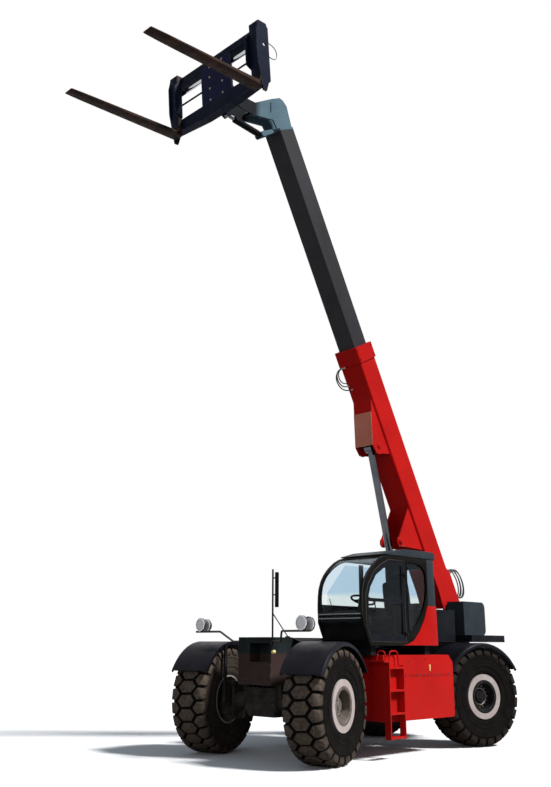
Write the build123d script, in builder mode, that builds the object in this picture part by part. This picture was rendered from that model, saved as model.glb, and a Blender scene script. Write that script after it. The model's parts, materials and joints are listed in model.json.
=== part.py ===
from build123d import *
import os
from math import cos, pi, radians, sin

os.makedirs("parts", exist_ok=True)

# Stations and wheels, in millimetres. X runs forwards, Y to the left, Z up from the ground.
front_axle_x = 822.5
wheelbase = 3950
kingpin_y = 930
wheel_offset = 220
steer_angle = 14.5
tyre_radius = 810
tyre_width = 600
bead_radius = 365
lug_depth = 38
lug_count = 24
lug_length = 148
lug_skew = 34
centre_lug_half = 118
shoulder_lug_inner = 138
tread_half = 268
bulge_radius = 560
rim_width = 540
rim_wall = 22
hub_recess_radius = 228
ring_face = 285
hub_depth = 130
fit_gap = 0.5

# Axles and knuckles
axle_tube_radius = 125
housing_half_length = 185
housing_half_width = 330
housing_bottom = 600
housing_top = 1020
housing_rib_levels = (715, 815, 915)
yoke_inner_y = 620
yoke_thickness = 45
yoke_half_width = 90
ear_half_gap = 225
ear_thickness = 50
kingpin_radius = 45
knuckle_radius = 150
spindle_radius = 110
running_gap = 6
pin_gap = 0.3
stub_radius = 60
stub_depth = 145

# Fenders
fender_gap = 62
fender_thickness = 12
fender_inner_b = -120
fender_outer_b = 560
fender_first_angle = 30
fender_last_angle = 150
fender_rib_height = 45
fender_shoulder = 55

# Chassis
channel_half_width = 330
plate_thickness = 30
chassis_top = 1745
chassis_mid_top = 1600
chassis_belly = 550
axle_clear_z = 1060
nose_length = 285
nose_block_back = -180
nose_window = (110, 1530, 440, 280)
nose_plate = (200, 1260, 310, 200)
side_shelf_y = 620
side_shelf_z = 1660
thrust_collar_radius = 100
tail_x = -5100
pivot_x = -4620
pivot_z = 2200
pivot_pin_radius = 60
tower_radius = 190
tower_front_x = -4340
deck_bottom_z = 1712
tank_top_z = 1500
tank_inner_y = 800
pod_bottom_z = 700
hood_top_z = 1760
deck_thickness = 118
lift_base_x = -3680
lift_base_z = 1250
lift_pin_radius = 50

# Boom, measured from its pivot: s along the boom, n square to it
boom_angle = 61.7
boom_centre_n = 180
outer_width = 480
outer_depth = 520
outer_wall = 12
outer_start_s = 180
outer_end_s = 5430
collar_length = 300
collar_rise = 26
inner_width = 380
inner_depth = 420
inner_wall = 10
inner_tail = 1100
inner_end_s = 9640
boom_stroke = 3850
collar_gap = 0.5
lift_eye_s = 3570
lift_eye_n = -303
lift_rod_radius = 68
lift_barrel_radius = 115
lift_barrel_length = 2130
lift_rod_start = 330
rod_back = 1810
heel_half = 265
heel_plate = 27
boom_pin_s = 1800
boom_pin_n = -620
boom_pin_half = 222

# Boom head, tilt pivot and carriage. Tilt pivot given from the boom pivot along s and n
tilt_s = 10350
tilt_n = -930
head_half_width = 150
tilt_pin_radius = 40
carriage_lean = 5.0
carriage_half_width = 1160
carriage_bottom = -340
carriage_end_bottom = -270
carriage_top = 735
carriage_plate = 30
beam_back = 90
beam_front = 250
lower_beam_height = 260
upper_beam_height = 120
fork_half_spacing = 1050
fork_width = 150
fork_reach = 2560
fork_thickness = 75
fork_tip_thickness = 18
fork_bottom = -410
guide_radius = 36
guide_x = 165
guide_y = 495
thin_guide_radius = 16
thin_guide_y = 270
fork_cheek = 25
lashing_x = 195
lashing_y = 385
lashing_radius = 36

# Tilt cylinder: its pin under the head and its eye behind the carriage
tilt_base_s = 9640
tilt_base_n = -380
tilt_eye_x = 20
tilt_eye_y = -330
tilt_barrel_radius = 58
tilt_barrel_length = 640
tilt_rod_radius = 30
tilt_rod_back = 180
tilt_lug_half = 92
tilt_base_pin = 22

# Towing jaw at the tail
tow_x = -5190
tow_z = 1150
tow_radius = 20
tow_length = 120
tow_gap = 60

# Engine hood's hinge at the pod's rear
hood_hinge_x = -2930
hood_hinge_z = 1535
hood_hinge_stations = (-560, -1260)

# Cab
cab_left_y = 1360
cab_right_y = 430
cab_floor_z = 1640
cab_top_z = 3030
roof_thickness = 130
cab_rear_x = -2600
cab_wall = 45
door_gap = 6
glass_thickness = 8
mid_rail_z = 2320
door_hinge_x = -1737
door_hinge_y = cab_left_y + 20
door_hinge_levels = (1830, 2740)
hinge_knuckle = 30


def boom_point(s, n):
    """World point at rest from the boom's own two coordinates."""
    b = radians(boom_angle)
    x = front_axle_x + pivot_x + s * cos(b) - n * sin(b)
    z = pivot_z + s * sin(b) + n * cos(b)
    return Vector(x, 0, z)


beta = radians(boom_angle)
boom_along = Vector(cos(beta), 0, sin(beta))
boom_side = Plane(boom_point(0, 0), x_dir=boom_along, z_dir=(0, -1, 0))


def side_plane(y):
    """Vertical plane at a given Y with local x forwards and local y up."""
    return Plane.XZ.offset(-y)


def outline(points):
    """Closed polygon face points shifted from the front axle to the model's frame."""
    return [(front_axle_x + x, z) for x, z in points]


def save(piece, name):
    piece.part.label = name
    export_step(piece.part, "parts/" + name + ".step")


# Wheels and knuckles, one set for each corner
corners = {
    "front_left": (0, 1, 1),
    "front_right": (0, -1, 1),
    "rear_left": (-wheelbase, 1, -1),
    "rear_right": (-wheelbase, -1, -1),
}


def corner_planes(corner):
    """Kingpin point, forward vector and outward vector of one steered corner."""
    x, side, turn = corners[corner]
    d = radians(steer_angle * turn)
    kingpin = Vector(front_axle_x + x, side * kingpin_y, tyre_radius)
    forward = Vector(cos(d), sin(d), 0)
    outward = Vector(-sin(d), cos(d), 0) * side
    return kingpin, forward, outward


for corner in corners:
    kingpin, forward, outward = corner_planes(corner)
    side = corners[corner][1]
    centre = kingpin + outward * wheel_offset
    section = Plane(centre, x_dir=outward, z_dir=outward.cross(Vector(0, 0, 1)))
    spin = Axis(centre, outward)

    # Tyre: faceted carcass, one flat to a pitch, with three rows of skewed lugs
    half = tyre_width / 2
    flat = radians(180 / lug_count)
    tread_base = tyre_radius - lug_depth
    shell = [(-half, bulge_radius), (-tread_half, tread_base), (tread_half, tread_base),
             (half, bulge_radius)]
    with BuildPart() as tyre:
        for b, r in shell:
            with BuildSketch(Plane(centre + outward * b, x_dir=forward, z_dir=outward)):
                RegularPolygon(r / cos(flat), lug_count, rotation=180 / lug_count)
        loft(ruled=True)
        for face_b, bead_b in ((-half, -rim_width / 2 + 10), (half, rim_width / 2 - 10)):
            for b, r in ((face_b, bulge_radius), (bead_b, bead_radius)):
                with BuildSketch(Plane(centre + outward * b, x_dir=forward, z_dir=outward)):
                    RegularPolygon(r / cos(flat), lug_count, rotation=180 / lug_count)
            loft(ruled=True, mode=Mode.SUBTRACT)
        with BuildSketch(Plane(centre, x_dir=forward, z_dir=outward)):
            RegularPolygon(bead_radius / cos(flat), lug_count, rotation=180 / lug_count)
        extrude(amount=half, both=True, mode=Mode.SUBTRACT)
        centre_lug = [(-centre_lug_half, -lug_length / 2), (centre_lug_half, -lug_length / 2 + lug_skew),
                      (centre_lug_half, lug_length / 2), (-centre_lug_half, lug_length / 2 - lug_skew)]
        shoulder_lug = [(shoulder_lug_inner, -lug_length / 2 + lug_skew), (tread_half, -lug_length / 2),
                        (tread_half, lug_length / 2 - lug_skew), (shoulder_lug_inner, lug_length / 2)]
        flats = []
        for i in range(lug_count):
            turn_angle = 2 * pi * i / lug_count
            radial = forward * cos(turn_angle) + Vector(0, 0, 1) * sin(turn_angle)
            flats.append(Plane(centre + radial * (tread_base - 5), x_dir=outward, z_dir=radial))
        for lug in (centre_lug, shoulder_lug, [(-b, -a) for b, a in shoulder_lug]):
            with BuildSketch(*flats):
                Polygon(*lug, align=None)
            extrude(amount=lug_depth + 5)
    save(tyre, "tyre_" + corner)

    # Rim: barrel, broad front ring, deep hub recess and the planetary cover at its bottom
    barrel_outer = bead_radius - fit_gap
    barrel_inner = barrel_outer - rim_wall
    back = -rim_width / 2
    with BuildPart() as rim:
        with BuildSketch(section):
            with BuildLine():
                Polyline(
                    (back, barrel_inner),
                    (back, barrel_outer),
                    (ring_face, barrel_outer),
                    (ring_face, hub_recess_radius),
                    (hub_depth, hub_recess_radius - 10),
                    (hub_depth - 20, 0),
                    (hub_depth - 50, 0),
                    (hub_depth - 50, hub_recess_radius + 14),
                    (ring_face - 24, hub_recess_radius + 14),
                    (ring_face - 24, barrel_inner),
                    close=True,
                )
            make_face()
        revolve(axis=spin)
        hub_plane = Plane(centre + outward * (hub_depth - 20), x_dir=forward, z_dir=outward)
        with BuildSketch(hub_plane):
            Circle(150)
        extrude(amount=60, taper=8)
        with BuildSketch(Plane(centre, x_dir=forward, z_dir=outward)):
            Circle(stub_radius + pin_gap)
        extrude(amount=stub_depth + running_gap, mode=Mode.SUBTRACT)
    save(rim, "rim_" + corner)

    # Knuckle: kingpin barrel between the yoke's ears, spindle, and the arm under the fender
    level = Plane(kingpin, x_dir=forward, z_dir=(0, 0, 1))
    with BuildPart() as knuckle:
        with BuildSketch(level.offset(-(ear_half_gap - running_gap))):
            Circle(knuckle_radius)
        extrude(amount=2 * (ear_half_gap - running_gap))
        with BuildSketch(Plane(kingpin, x_dir=forward, z_dir=outward)):
            Circle(spindle_radius)
        extrude(amount=wheel_offset + hub_depth - 50 - running_gap)
        with BuildSketch(Plane(kingpin, x_dir=forward, z_dir=outward)):
            Circle(stub_radius)
        extrude(amount=wheel_offset + stub_depth)
        with BuildSketch(level):
            Circle(kingpin_radius)
        extrude(amount=ear_half_gap + ear_thickness, both=True)
        with BuildSketch(level.offset(-30)):
            with Locations((145, side * (fender_inner_b - 15))):
                Rectangle(290, 30)
        extrude(amount=60)
        arm_top = tyre_radius + fender_gap - 20
        with BuildSketch(level.offset(-30)):
            with Locations((260, side * (fender_inner_b - 15 - fit_gap))):
                Rectangle(60, 30)
        extrude(amount=arm_top)
    save(knuckle, "knuckle_" + corner)

    # Fender: a band over the tyre with a rounded outer shoulder, a lip and an inner flange
    inner_r = tyre_radius + fender_gap
    outer_r = inner_r + fender_thickness
    first = radians(fender_first_angle)
    rise = forward * cos(first) + Vector(0, 0, 1) * sin(first)
    with BuildPart() as fender:
        with BuildSketch(Plane(kingpin, x_dir=outward, z_dir=outward.cross(rise))) as band:
            Polygon(
                (fender_inner_b, inner_r - fender_rib_height),
                (fender_inner_b, outer_r),
                (fender_outer_b, outer_r),
                (fender_outer_b, inner_r - fender_shoulder),
                (fender_outer_b - fender_thickness, inner_r - fender_shoulder),
                (fender_outer_b - fender_thickness, inner_r),
                (fender_inner_b + fender_thickness, inner_r),
                (fender_inner_b + fender_thickness, inner_r - fender_rib_height),
                align=None,
            )
            outer_corner = band.vertices().sort_by(lambda v: v.X + v.Y)[-1]
            fillet(outer_corner, fender_shoulder - fender_thickness)
        revolve(axis=Axis(kingpin, forward.cross(Vector(0, 0, 1))),
                revolution_arc=fender_last_angle - fender_first_angle)
    save(fender, "fender_" + corner)

# Axles: ribbed housing with a flat bottom, tube and a yoke with two ears at each end
for name, x in (("axle_front", 0), ("axle_rear", -wheelbase)):
    origin = Vector(front_axle_x + x, 0, tyre_radius)
    across = Plane(origin, x_dir=(1, 0, 0), z_dir=(0, -1, 0))
    with BuildPart() as axle:
        with BuildSketch(across.offset(-yoke_inner_y)):
            Circle(axle_tube_radius)
        extrude(amount=2 * yoke_inner_y)
        with BuildSketch(Plane.XY.offset(housing_bottom + 100)):
            with Locations((origin.X, 0)):
                RectangleRounded(2 * housing_half_length, 2 * housing_half_width, 60)
        extrude(amount=housing_top - housing_bottom - 100)
        with BuildSketch(Plane.XY.offset(housing_bottom + 100)):
            with Locations((origin.X, 0)):
                RectangleRounded(2 * housing_half_length, 2 * housing_half_width, 60)
        extrude(amount=-100, taper=28)
        for level in housing_rib_levels:
            with BuildSketch(Plane.XY.offset(level)):
                with Locations((origin.X, 0)):
                    RectangleRounded(2 * housing_half_length + 50, 2 * housing_half_width - 40, 60)
            extrude(amount=25)
        for side in (-1, 1):
            web = side * (yoke_inner_y + yoke_thickness / 2)
            web_start = origin + Vector(0, web - yoke_thickness / 2, 0)
            with BuildSketch(Plane(web_start, x_dir=(-1, 0, 0), z_dir=(0, 1, 0))):
                RectangleRounded(2 * axle_tube_radius, 2 * (ear_half_gap + ear_thickness), 40)
            extrude(amount=yoke_thickness)
            for level in (ear_half_gap, -ear_half_gap - ear_thickness):
                ear_length = kingpin_y - yoke_inner_y
                with BuildSketch(Plane.XY.offset(tyre_radius + level)):
                    with Locations((origin.X, side * (yoke_inner_y + ear_length / 2))):
                        Rectangle(2 * yoke_half_width, ear_length)
                    with Locations((origin.X, side * kingpin_y)):
                        Circle(yoke_half_width)
                        Circle(kingpin_radius + pin_gap, mode=Mode.SUBTRACT)
                extrude(amount=ear_thickness)
            for pad_x in (-90, 90):
                with BuildSketch(Plane.XY.offset(tyre_radius + axle_tube_radius * 0.5)):
                    with Locations((origin.X + pad_x, side * (channel_half_width + plate_thickness / 2))):
                        Rectangle(60, 120)
                extrude(amount=axle_clear_z - tyre_radius - axle_tube_radius * 0.5)
    save(axle, name)

# Chassis frame: two long side plates with towers for the boom pin, joined by cross members
frame_outline = outline([
    (nose_block_back, axle_clear_z),
    (nose_block_back, chassis_top),
    (-760, chassis_top),
    (-900, chassis_mid_top),
    (-3060, chassis_mid_top),
    (-3160, deck_bottom_z),
    (-4180, deck_bottom_z),
    (tower_front_x, pivot_z),
    (tower_front_x - 60, pivot_z + tower_radius),
    (pivot_x - 120, pivot_z + tower_radius),
    (pivot_x - tower_radius, pivot_z + 60),
    (tail_x + 60, 1830),
    (tail_x + 60, axle_clear_z),
    (-3300, axle_clear_z),
    (-3050, chassis_belly),
    (-950, chassis_belly),
    (-700, axle_clear_z),
])
with BuildPart() as chassis_frame:
    for side in (1, -1):
        outer_y = channel_half_width + plate_thickness if side > 0 else -channel_half_width
        with BuildSketch(side_plane(outer_y)):
            Polygon(*frame_outline, align=None)
        extrude(amount=plate_thickness)
    with BuildSketch(Plane.XY.offset(chassis_belly)):
        with Locations((front_axle_x - 2000, 0)):
            Rectangle(2000, 2 * channel_half_width)
    extrude(amount=25)
    for x, cross_height in ((-700, 220), (-3250, 100)):
        with BuildSketch(Plane.XY.offset(axle_clear_z)):
            with Locations((front_axle_x + x, 0)):
                Rectangle(40, 2 * channel_half_width)
        extrude(amount=cross_height)
    with BuildSketch(Plane.XY.offset(axle_clear_z)):
        with Locations((front_axle_x + tail_x + 90, 0)):
            Rectangle(60, 2 * channel_half_width)
    extrude(amount=640)
    for y in (-channel_half_width, channel_half_width - 60):
        with BuildSketch(side_plane(y + 60)):
            with Locations((front_axle_x + lift_base_x, lift_base_z)):
                Circle(120)
        extrude(amount=60)
    with BuildSketch(side_plane(channel_half_width + plate_thickness)):
        with Locations((front_axle_x + lift_base_x, lift_base_z)):
            Circle(lift_pin_radius)
    extrude(amount=2 * (channel_half_width + plate_thickness))
    with BuildSketch(side_plane(channel_half_width + plate_thickness + 20)):
        with Locations((front_axle_x + pivot_x, pivot_z)):
            Circle(pivot_pin_radius)
    extrude(amount=2 * (channel_half_width + plate_thickness + 20))
    collar = channel_half_width - heel_half - running_gap
    for y in (channel_half_width, -channel_half_width + collar):
        with BuildSketch(side_plane(y)):
            with Locations((front_axle_x + pivot_x, pivot_z)):
                Circle(thrust_collar_radius)
        extrude(amount=collar)
    # Sloped shelf along the left side between the nose and the cab
    shelf_start = channel_half_width + plate_thickness - 10
    with BuildSketch(Plane.YZ.offset(front_axle_x - 750)):
        Polygon((shelf_start, chassis_top), (side_shelf_y, side_shelf_z), (side_shelf_y, side_shelf_z - 12),
                (shelf_start, chassis_top - 12), align=None)
    extrude(amount=750 + nose_block_back - 5)
    # Outriggers that carry the cab and the tank on the left and the engine pod on the right
    outrigger_start = channel_half_width + plate_thickness
    for x in (-1000, -2400):
        with BuildSketch(Plane.XY.offset(tank_top_z + fit_gap)):
            with Locations((front_axle_x + x, (outrigger_start + 1280) / 2)):
                Rectangle(120, 1280 - outrigger_start)
        extrude(amount=cab_floor_z - tank_top_z - 2 * fit_gap)
    for x in (-1400, -2600):
        with BuildSketch(Plane.XY.offset(pod_bottom_z - 80 - fit_gap)):
            with Locations((front_axle_x + x, -(outrigger_start + 1280) / 2)):
                Rectangle(120, 1280 - outrigger_start)
        extrude(amount=80)
        with BuildSketch(Plane.XY.offset(800)):
            with Locations((front_axle_x + x, (outrigger_start + tank_inner_y - fit_gap) / 2)):
                Rectangle(120, tank_inner_y - fit_gap - outrigger_start)
        extrude(amount=160)
save(chassis_frame, "chassis_frame")

# Front block: a hollow nose with a window in its front plate
with BuildPart() as front_block:
    block_width = 2 * (channel_half_width + plate_thickness)
    block_height = chassis_top + 10 - axle_clear_z
    with BuildSketch(Plane.XY.offset(axle_clear_z)):
        with Locations((front_axle_x + (nose_length + nose_block_back) / 2, 0)):
            Rectangle(nose_length - nose_block_back, block_width)
    extrude(amount=block_height)
    nose_face = Plane.YZ.offset(front_axle_x + nose_length)
    with BuildSketch(nose_face):
        with Locations(nose_window[:2]):
            Rectangle(*nose_window[2:])
    extrude(amount=-220, mode=Mode.SUBTRACT)
    with BuildSketch(nose_face):
        with Locations(nose_plate[:2]):
            Rectangle(*nose_plate[2:])
    extrude(amount=12)
    for z in (axle_clear_z + 30, axle_clear_z + 75):
        with BuildSketch(nose_face):
            with Locations((-190, z)):
                Rectangle(300, 18)
        extrude(amount=14)
save(front_block, "front_block")

# Rear deck: the slab across the tail with the counterweight hanging under it
with BuildPart() as rear_deck:
    for side in (1, -1):
        inner = channel_half_width + plate_thickness
        with BuildSketch(Plane.XY.offset(deck_bottom_z)):
            with Locations((front_axle_x - 4550, side * (inner + 1120) / 2)):
                Rectangle(1100, 1120 - inner)
        extrude(amount=deck_thickness)
    with BuildSketch(Plane.XY.offset(axle_clear_z)):
        with Locations((front_axle_x + tail_x + 30, 0)):
            Rectangle(60, 2 * (channel_half_width + plate_thickness))
    extrude(amount=770)
    with BuildSketch(Plane.XY.offset(deck_bottom_z)):
        with Locations((front_axle_x + tail_x + 30, 0)):
            Rectangle(60, 2240)
    extrude(amount=deck_thickness)
    for z in (tow_z - tow_length / 2, tow_z + tow_gap / 2):
        with BuildSketch(Plane.XY.offset(z)):
            with Locations((front_axle_x + (tail_x + tow_x) / 2, 0)):
                Rectangle(tail_x - tow_x, 160)
            with Locations((front_axle_x + tow_x, 0)):
                Circle(80)
                Circle(tow_radius, mode=Mode.SUBTRACT)
        extrude(amount=(tow_length - tow_gap) / 2)
save(rear_deck, "rear_deck")

# Rear hoods beside the boom's heel, with rounded top rear corners
with BuildPart() as rear_hoods:
    hood_inner = channel_half_width + plate_thickness + 25
    for y_left in (745, -hood_inner):
        with BuildSketch(side_plane(y_left)) as hood_face:
            Polygon(*outline([(-4360, 1830), (-4360, 2440), (-5080, 2440), (-5080, 1830)]), align=None)
            fillet(hood_face.vertices().sort_by(Axis.Z)[-2:], 110)
        extrude(amount=745 - hood_inner)
save(rear_hoods, "rear_hoods")

# Valve housing between the cab and the rear hood
with BuildPart() as valve_housing:
    with BuildSketch(Plane.XY.offset(deck_bottom_z + fit_gap)):
        with Locations((front_axle_x - 3590, 580)):
            RectangleRounded(800, 440, 40)
    extrude(amount=550)
save(valve_housing, "valve_housing")

# Left tank with its step recess, under the cab
with BuildPart() as tank_left:
    with BuildSketch(side_plane(cab_left_y + 20)):
        Polygon(*outline([(-1110, 530), (-1110, tank_top_z), (-2850, tank_top_z), (-2965, 1380), (-2965, 530)]),
                align=None)
        fillet(vertices().sort_by(Axis.Y)[:2], 50)
    extrude(amount=cab_left_y + 20 - tank_inner_y)
    with BuildSketch(side_plane(cab_left_y + 20)):
        with Locations((front_axle_x - 2240, 1170)):
            Rectangle(1500, 8)
        with Locations((front_axle_x - 1500, 1000)):
            Rectangle(8, 900)
    extrude(amount=6, mode=Mode.SUBTRACT)
    with BuildSketch(side_plane(1090)):
        Polygon(*outline([(-990, 560), (-990, 1440), (-1110, 1440), (-1110, 560)]), align=None)
    extrude(amount=290)
save(tank_left, "tank_left")

# Engine pod on the right and the engine inside it
with BuildPart() as engine_pod:
    pod_inner = channel_half_width + plate_thickness + 40
    with BuildSketch(side_plane(-pod_inner)):
        Polygon(*outline([(-1000, pod_bottom_z), (-1000, 1500), (-1150, 1560), (-2850, 1560), (-2960, 1450),
                          (-2960, pod_bottom_z)]), align=None)
    extrude(amount=cab_left_y - pod_inner)
    offset(amount=-20, openings=engine_pod.faces().sort_by(Axis.Z)[-1])
    for y in hood_hinge_stations:
        with BuildSketch(side_plane(y)):
            Polygon(*outline([(-2952, 1455), (-2865, 1542), (-2915, 1552), (-2946, 1518)]), align=None)
            with Locations((front_axle_x + hood_hinge_x, hood_hinge_z)):
                Circle(25)
        extrude(amount=16)
        with BuildSketch(side_plane(y)):
            with Locations((front_axle_x + hood_hinge_x, hood_hinge_z)):
                Circle(12)
        extrude(amount=40)
    for z in range(860, 1400, 90):
        with BuildSketch(side_plane(-cab_left_y)):
            with Locations((front_axle_x - 1950, z)):
                Rectangle(1300, 30)
        extrude(amount=12)
save(engine_pod, "engine_pod")
with BuildPart() as engine_block:
    with BuildSketch(Plane.XY.offset(pod_bottom_z + 20 + fit_gap)):
        with Locations((front_axle_x - 1950, -880)):
            Rectangle(1300, 700)
    extrude(amount=800)
save(engine_block, "engine_block")
with BuildPart() as engine_hood:
    with BuildSketch(side_plane(-pod_inner)):
        Polygon(*outline([(-1000, 1565), (-1060, hood_top_z), (-2880, hood_top_z), (-2960, 1565)]), align=None)
        fillet(vertices().sort_by(Axis.Y)[-2:], 60)
    extrude(amount=cab_left_y - pod_inner)
    offset(amount=-15, openings=engine_hood.faces().sort_by(Axis.Z)[0])
    for y in hood_hinge_stations:
        with BuildSketch(side_plane(y - 18)):
            Polygon(*outline([(-2955, 1600), (-2938, 1600), (-2908, 1545), (-2955, 1530)]), align=None)
            with Locations((front_axle_x + hood_hinge_x, hood_hinge_z)):
                Circle(25)
                Circle(12 + pin_gap, mode=Mode.SUBTRACT)
        extrude(amount=16)
save(engine_hood, "engine_hood")

# Cab: a strip of floor, rear wall and roof frame between two side plates with their openings cut
front_low = (-840, cab_floor_z)
front_knee = (-680, 1980)
front_brow = (-680, 2380)
front_arc_mid = (-880, 2790)
front_top = (-1330, cab_top_z)
cab_back_top = (-2560, cab_top_z)
cab_back_low = (cab_rear_x, cab_floor_z)


def cab_profile(inset=0):
    """Side outline of the cab drawn inwards by an inset."""
    x0 = front_axle_x
    with BuildSketch() as face:
        with BuildLine():
            Polyline((x0 + front_low[0], front_low[1]), (x0 + front_knee[0], front_knee[1]),
                     (x0 + front_brow[0], front_brow[1]))
            ThreePointArc((x0 + front_brow[0], front_brow[1]), (x0 + front_arc_mid[0], front_arc_mid[1]),
                          (x0 + front_top[0], front_top[1]))
            Polyline((x0 + front_top[0], front_top[1]), (x0 + cab_back_top[0], cab_back_top[1]),
                     (x0 + cab_back_low[0], cab_back_low[1]), (x0 + front_low[0], front_low[1]))
        make_face()
        if inset:
            offset(amount=-inset, kind=Kind.INTERSECTION)
    return face.sketch


def window(points, radius):
    """Closed window outline with rounded corners."""
    with BuildSketch() as face:
        Polygon(*outline(points), align=None)
        fillet(face.vertices(), radius)
    return face.sketch


windshield = [(-560, 1830), (-560, 3000), (-1240, 3000), (-1240, 2930), (-860, 2600), (-830, 2400),
              (-830, 1830)]
door_outline = [(-860, 1690), (-745, 1960), (-740, 2370), (-800, 2540), (-960, 2760), (-1150, 2880),
                (-1340, 2960), (-1740, 2960), (-1740, 1690)]
door_window = [(-900, 1800), (-820, 1985), (-815, 2360), (-865, 2510), (-1010, 2700), (-1180, 2800),
               (-1360, 2880), (-1670, 2880), (-1670, 1800)]
quarter_window = [(-1810, 1830), (-1810, 2940), (-2180, 2940), (-2340, 2800), (-2340, 2500), (-2260, 2240),
                  (-2050, 1990)]
right_window = [(-900, 1900), (-900, 2450), (-1350, 2920), (-2440, 2920), (-2480, 1900)]
cab_width = cab_left_y - cab_right_y
strip_left = cab_left_y - cab_wall
strip_width = cab_width - 2 * cab_wall
rear_window = (strip_width - 130, 880)
rear_window_place = ((cab_left_y + cab_right_y) / 2, 2450)
with BuildPart() as cab_shell:
    with BuildSketch(side_plane(strip_left)):
        add(cab_profile())
        add(cab_profile(cab_wall), mode=Mode.SUBTRACT)
        add(window(windshield, 20), mode=Mode.SUBTRACT)
    extrude(amount=strip_width)
    with BuildSketch(Plane.YZ.offset(front_axle_x + cab_rear_x - 1)):
        with Locations(rear_window_place):
            RectangleRounded(*rear_window, 60)
    extrude(amount=cab_wall + 60, mode=Mode.SUBTRACT)
save(cab_shell, "cab_shell")
with BuildPart() as cab_sides:
    with BuildSketch(side_plane(cab_left_y)):
        add(cab_profile())
        add(window(door_outline, 40), mode=Mode.SUBTRACT)
        add(window(quarter_window, 50), mode=Mode.SUBTRACT)
    extrude(amount=cab_wall - fit_gap)
    with BuildSketch(side_plane(cab_right_y + cab_wall - fit_gap)):
        add(cab_profile())
        add(window(right_window, 60), mode=Mode.SUBTRACT)
    extrude(amount=cab_wall - fit_gap)
    # Door hinges: a lug with an upright pin at two levels
    for z in door_hinge_levels:
        with BuildSketch(Plane.XY.offset(z)):
            with Locations((front_axle_x + door_hinge_x - 30, cab_left_y + 15)):
                Rectangle(60, 32)
            with Locations((front_axle_x + door_hinge_x, door_hinge_y)):
                Circle(14)
        extrude(amount=-hinge_knuckle)
        with BuildSketch(Plane.XY.offset(z - hinge_knuckle)):
            with Locations((front_axle_x + door_hinge_x, door_hinge_y)):
                Circle(8)
        extrude(amount=2 * hinge_knuckle)
save(cab_sides, "cab_sides")

# Cab glass in the openings of the shell: curved front, quarter, right side and rear panes
with BuildPart() as cab_glass:
    with BuildSketch(side_plane(cab_left_y - cab_wall - 1)):
        with BuildSketch(mode=Mode.PRIVATE) as cutter:
            add(window(windshield, 20))
            offset(amount=-1)
        add(cab_profile(10))
        add(cab_profile(10 + glass_thickness), mode=Mode.SUBTRACT)
        add(cutter.sketch, mode=Mode.INTERSECT)
    extrude(amount=strip_width - 2)
    with BuildSketch(side_plane(cab_left_y - 12)):
        add(window(quarter_window, 50))
        offset(amount=-1)
    extrude(amount=glass_thickness)
    with BuildSketch(side_plane(cab_right_y + 12 + glass_thickness)):
        add(window(right_window, 60))
        offset(amount=-1)
    extrude(amount=glass_thickness)
    with BuildSketch(Plane.YZ.offset(front_axle_x + cab_rear_x + 36)):
        with Locations(rear_window_place):
            RectangleRounded(rear_window[0] - 2, rear_window[1] - 2, 59)
    extrude(amount=glass_thickness)
save(cab_glass, "cab_glass")

# Door: a frame with a mid rail, and its two panes
with BuildPart() as cab_door:
    with BuildSketch(side_plane(cab_left_y)):
        add(window(door_outline, 40))
        offset(amount=-door_gap)
        add(window(door_window, 30), mode=Mode.SUBTRACT)
        with Locations((front_axle_x - 1240, mid_rail_z)):
            Rectangle(900, 50)
        with BuildSketch(mode=Mode.PRIVATE) as keep:
            add(window(door_outline, 40))
            offset(amount=-door_gap)
        add(keep.sketch, mode=Mode.INTERSECT)
    extrude(amount=cab_wall - 3)
    for z in door_hinge_levels:
        with BuildSketch(Plane.XY.offset(z + 2)):
            with Locations((front_axle_x + door_hinge_x + 26, cab_left_y + 15)):
                Rectangle(46, 32)
            with Locations((front_axle_x + door_hinge_x, door_hinge_y)):
                Circle(14)
        extrude(amount=hinge_knuckle)
        with BuildSketch(Plane.XY.offset(z + 1)):
            with Locations((front_axle_x + door_hinge_x, door_hinge_y)):
                Circle(8 + pin_gap)
        extrude(amount=hinge_knuckle + 2, mode=Mode.SUBTRACT)
save(cab_door, "cab_door")
with BuildPart() as door_glass:
    with BuildSketch(side_plane(cab_left_y - 14)):
        add(window(door_window, 30))
        offset(amount=-1)
        with Locations((front_axle_x - 1240, mid_rail_z)):
            Rectangle(1000, 52, mode=Mode.SUBTRACT)
    extrude(amount=glass_thickness)
save(door_glass, "door_glass")

# Roof: a thick cap with rounded edges
with BuildPart() as cab_roof:
    with BuildSketch(Plane.XY.offset(cab_top_z + fit_gap)):
        with Locations((front_axle_x - 1945, (cab_left_y + cab_right_y) / 2)):
            RectangleRounded(1370, cab_width + 50, 90)
    extrude(amount=roof_thickness)
    fillet(cab_roof.faces().sort_by(Axis.Z)[-1].edges(), 60)
save(cab_roof, "cab_roof")

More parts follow.
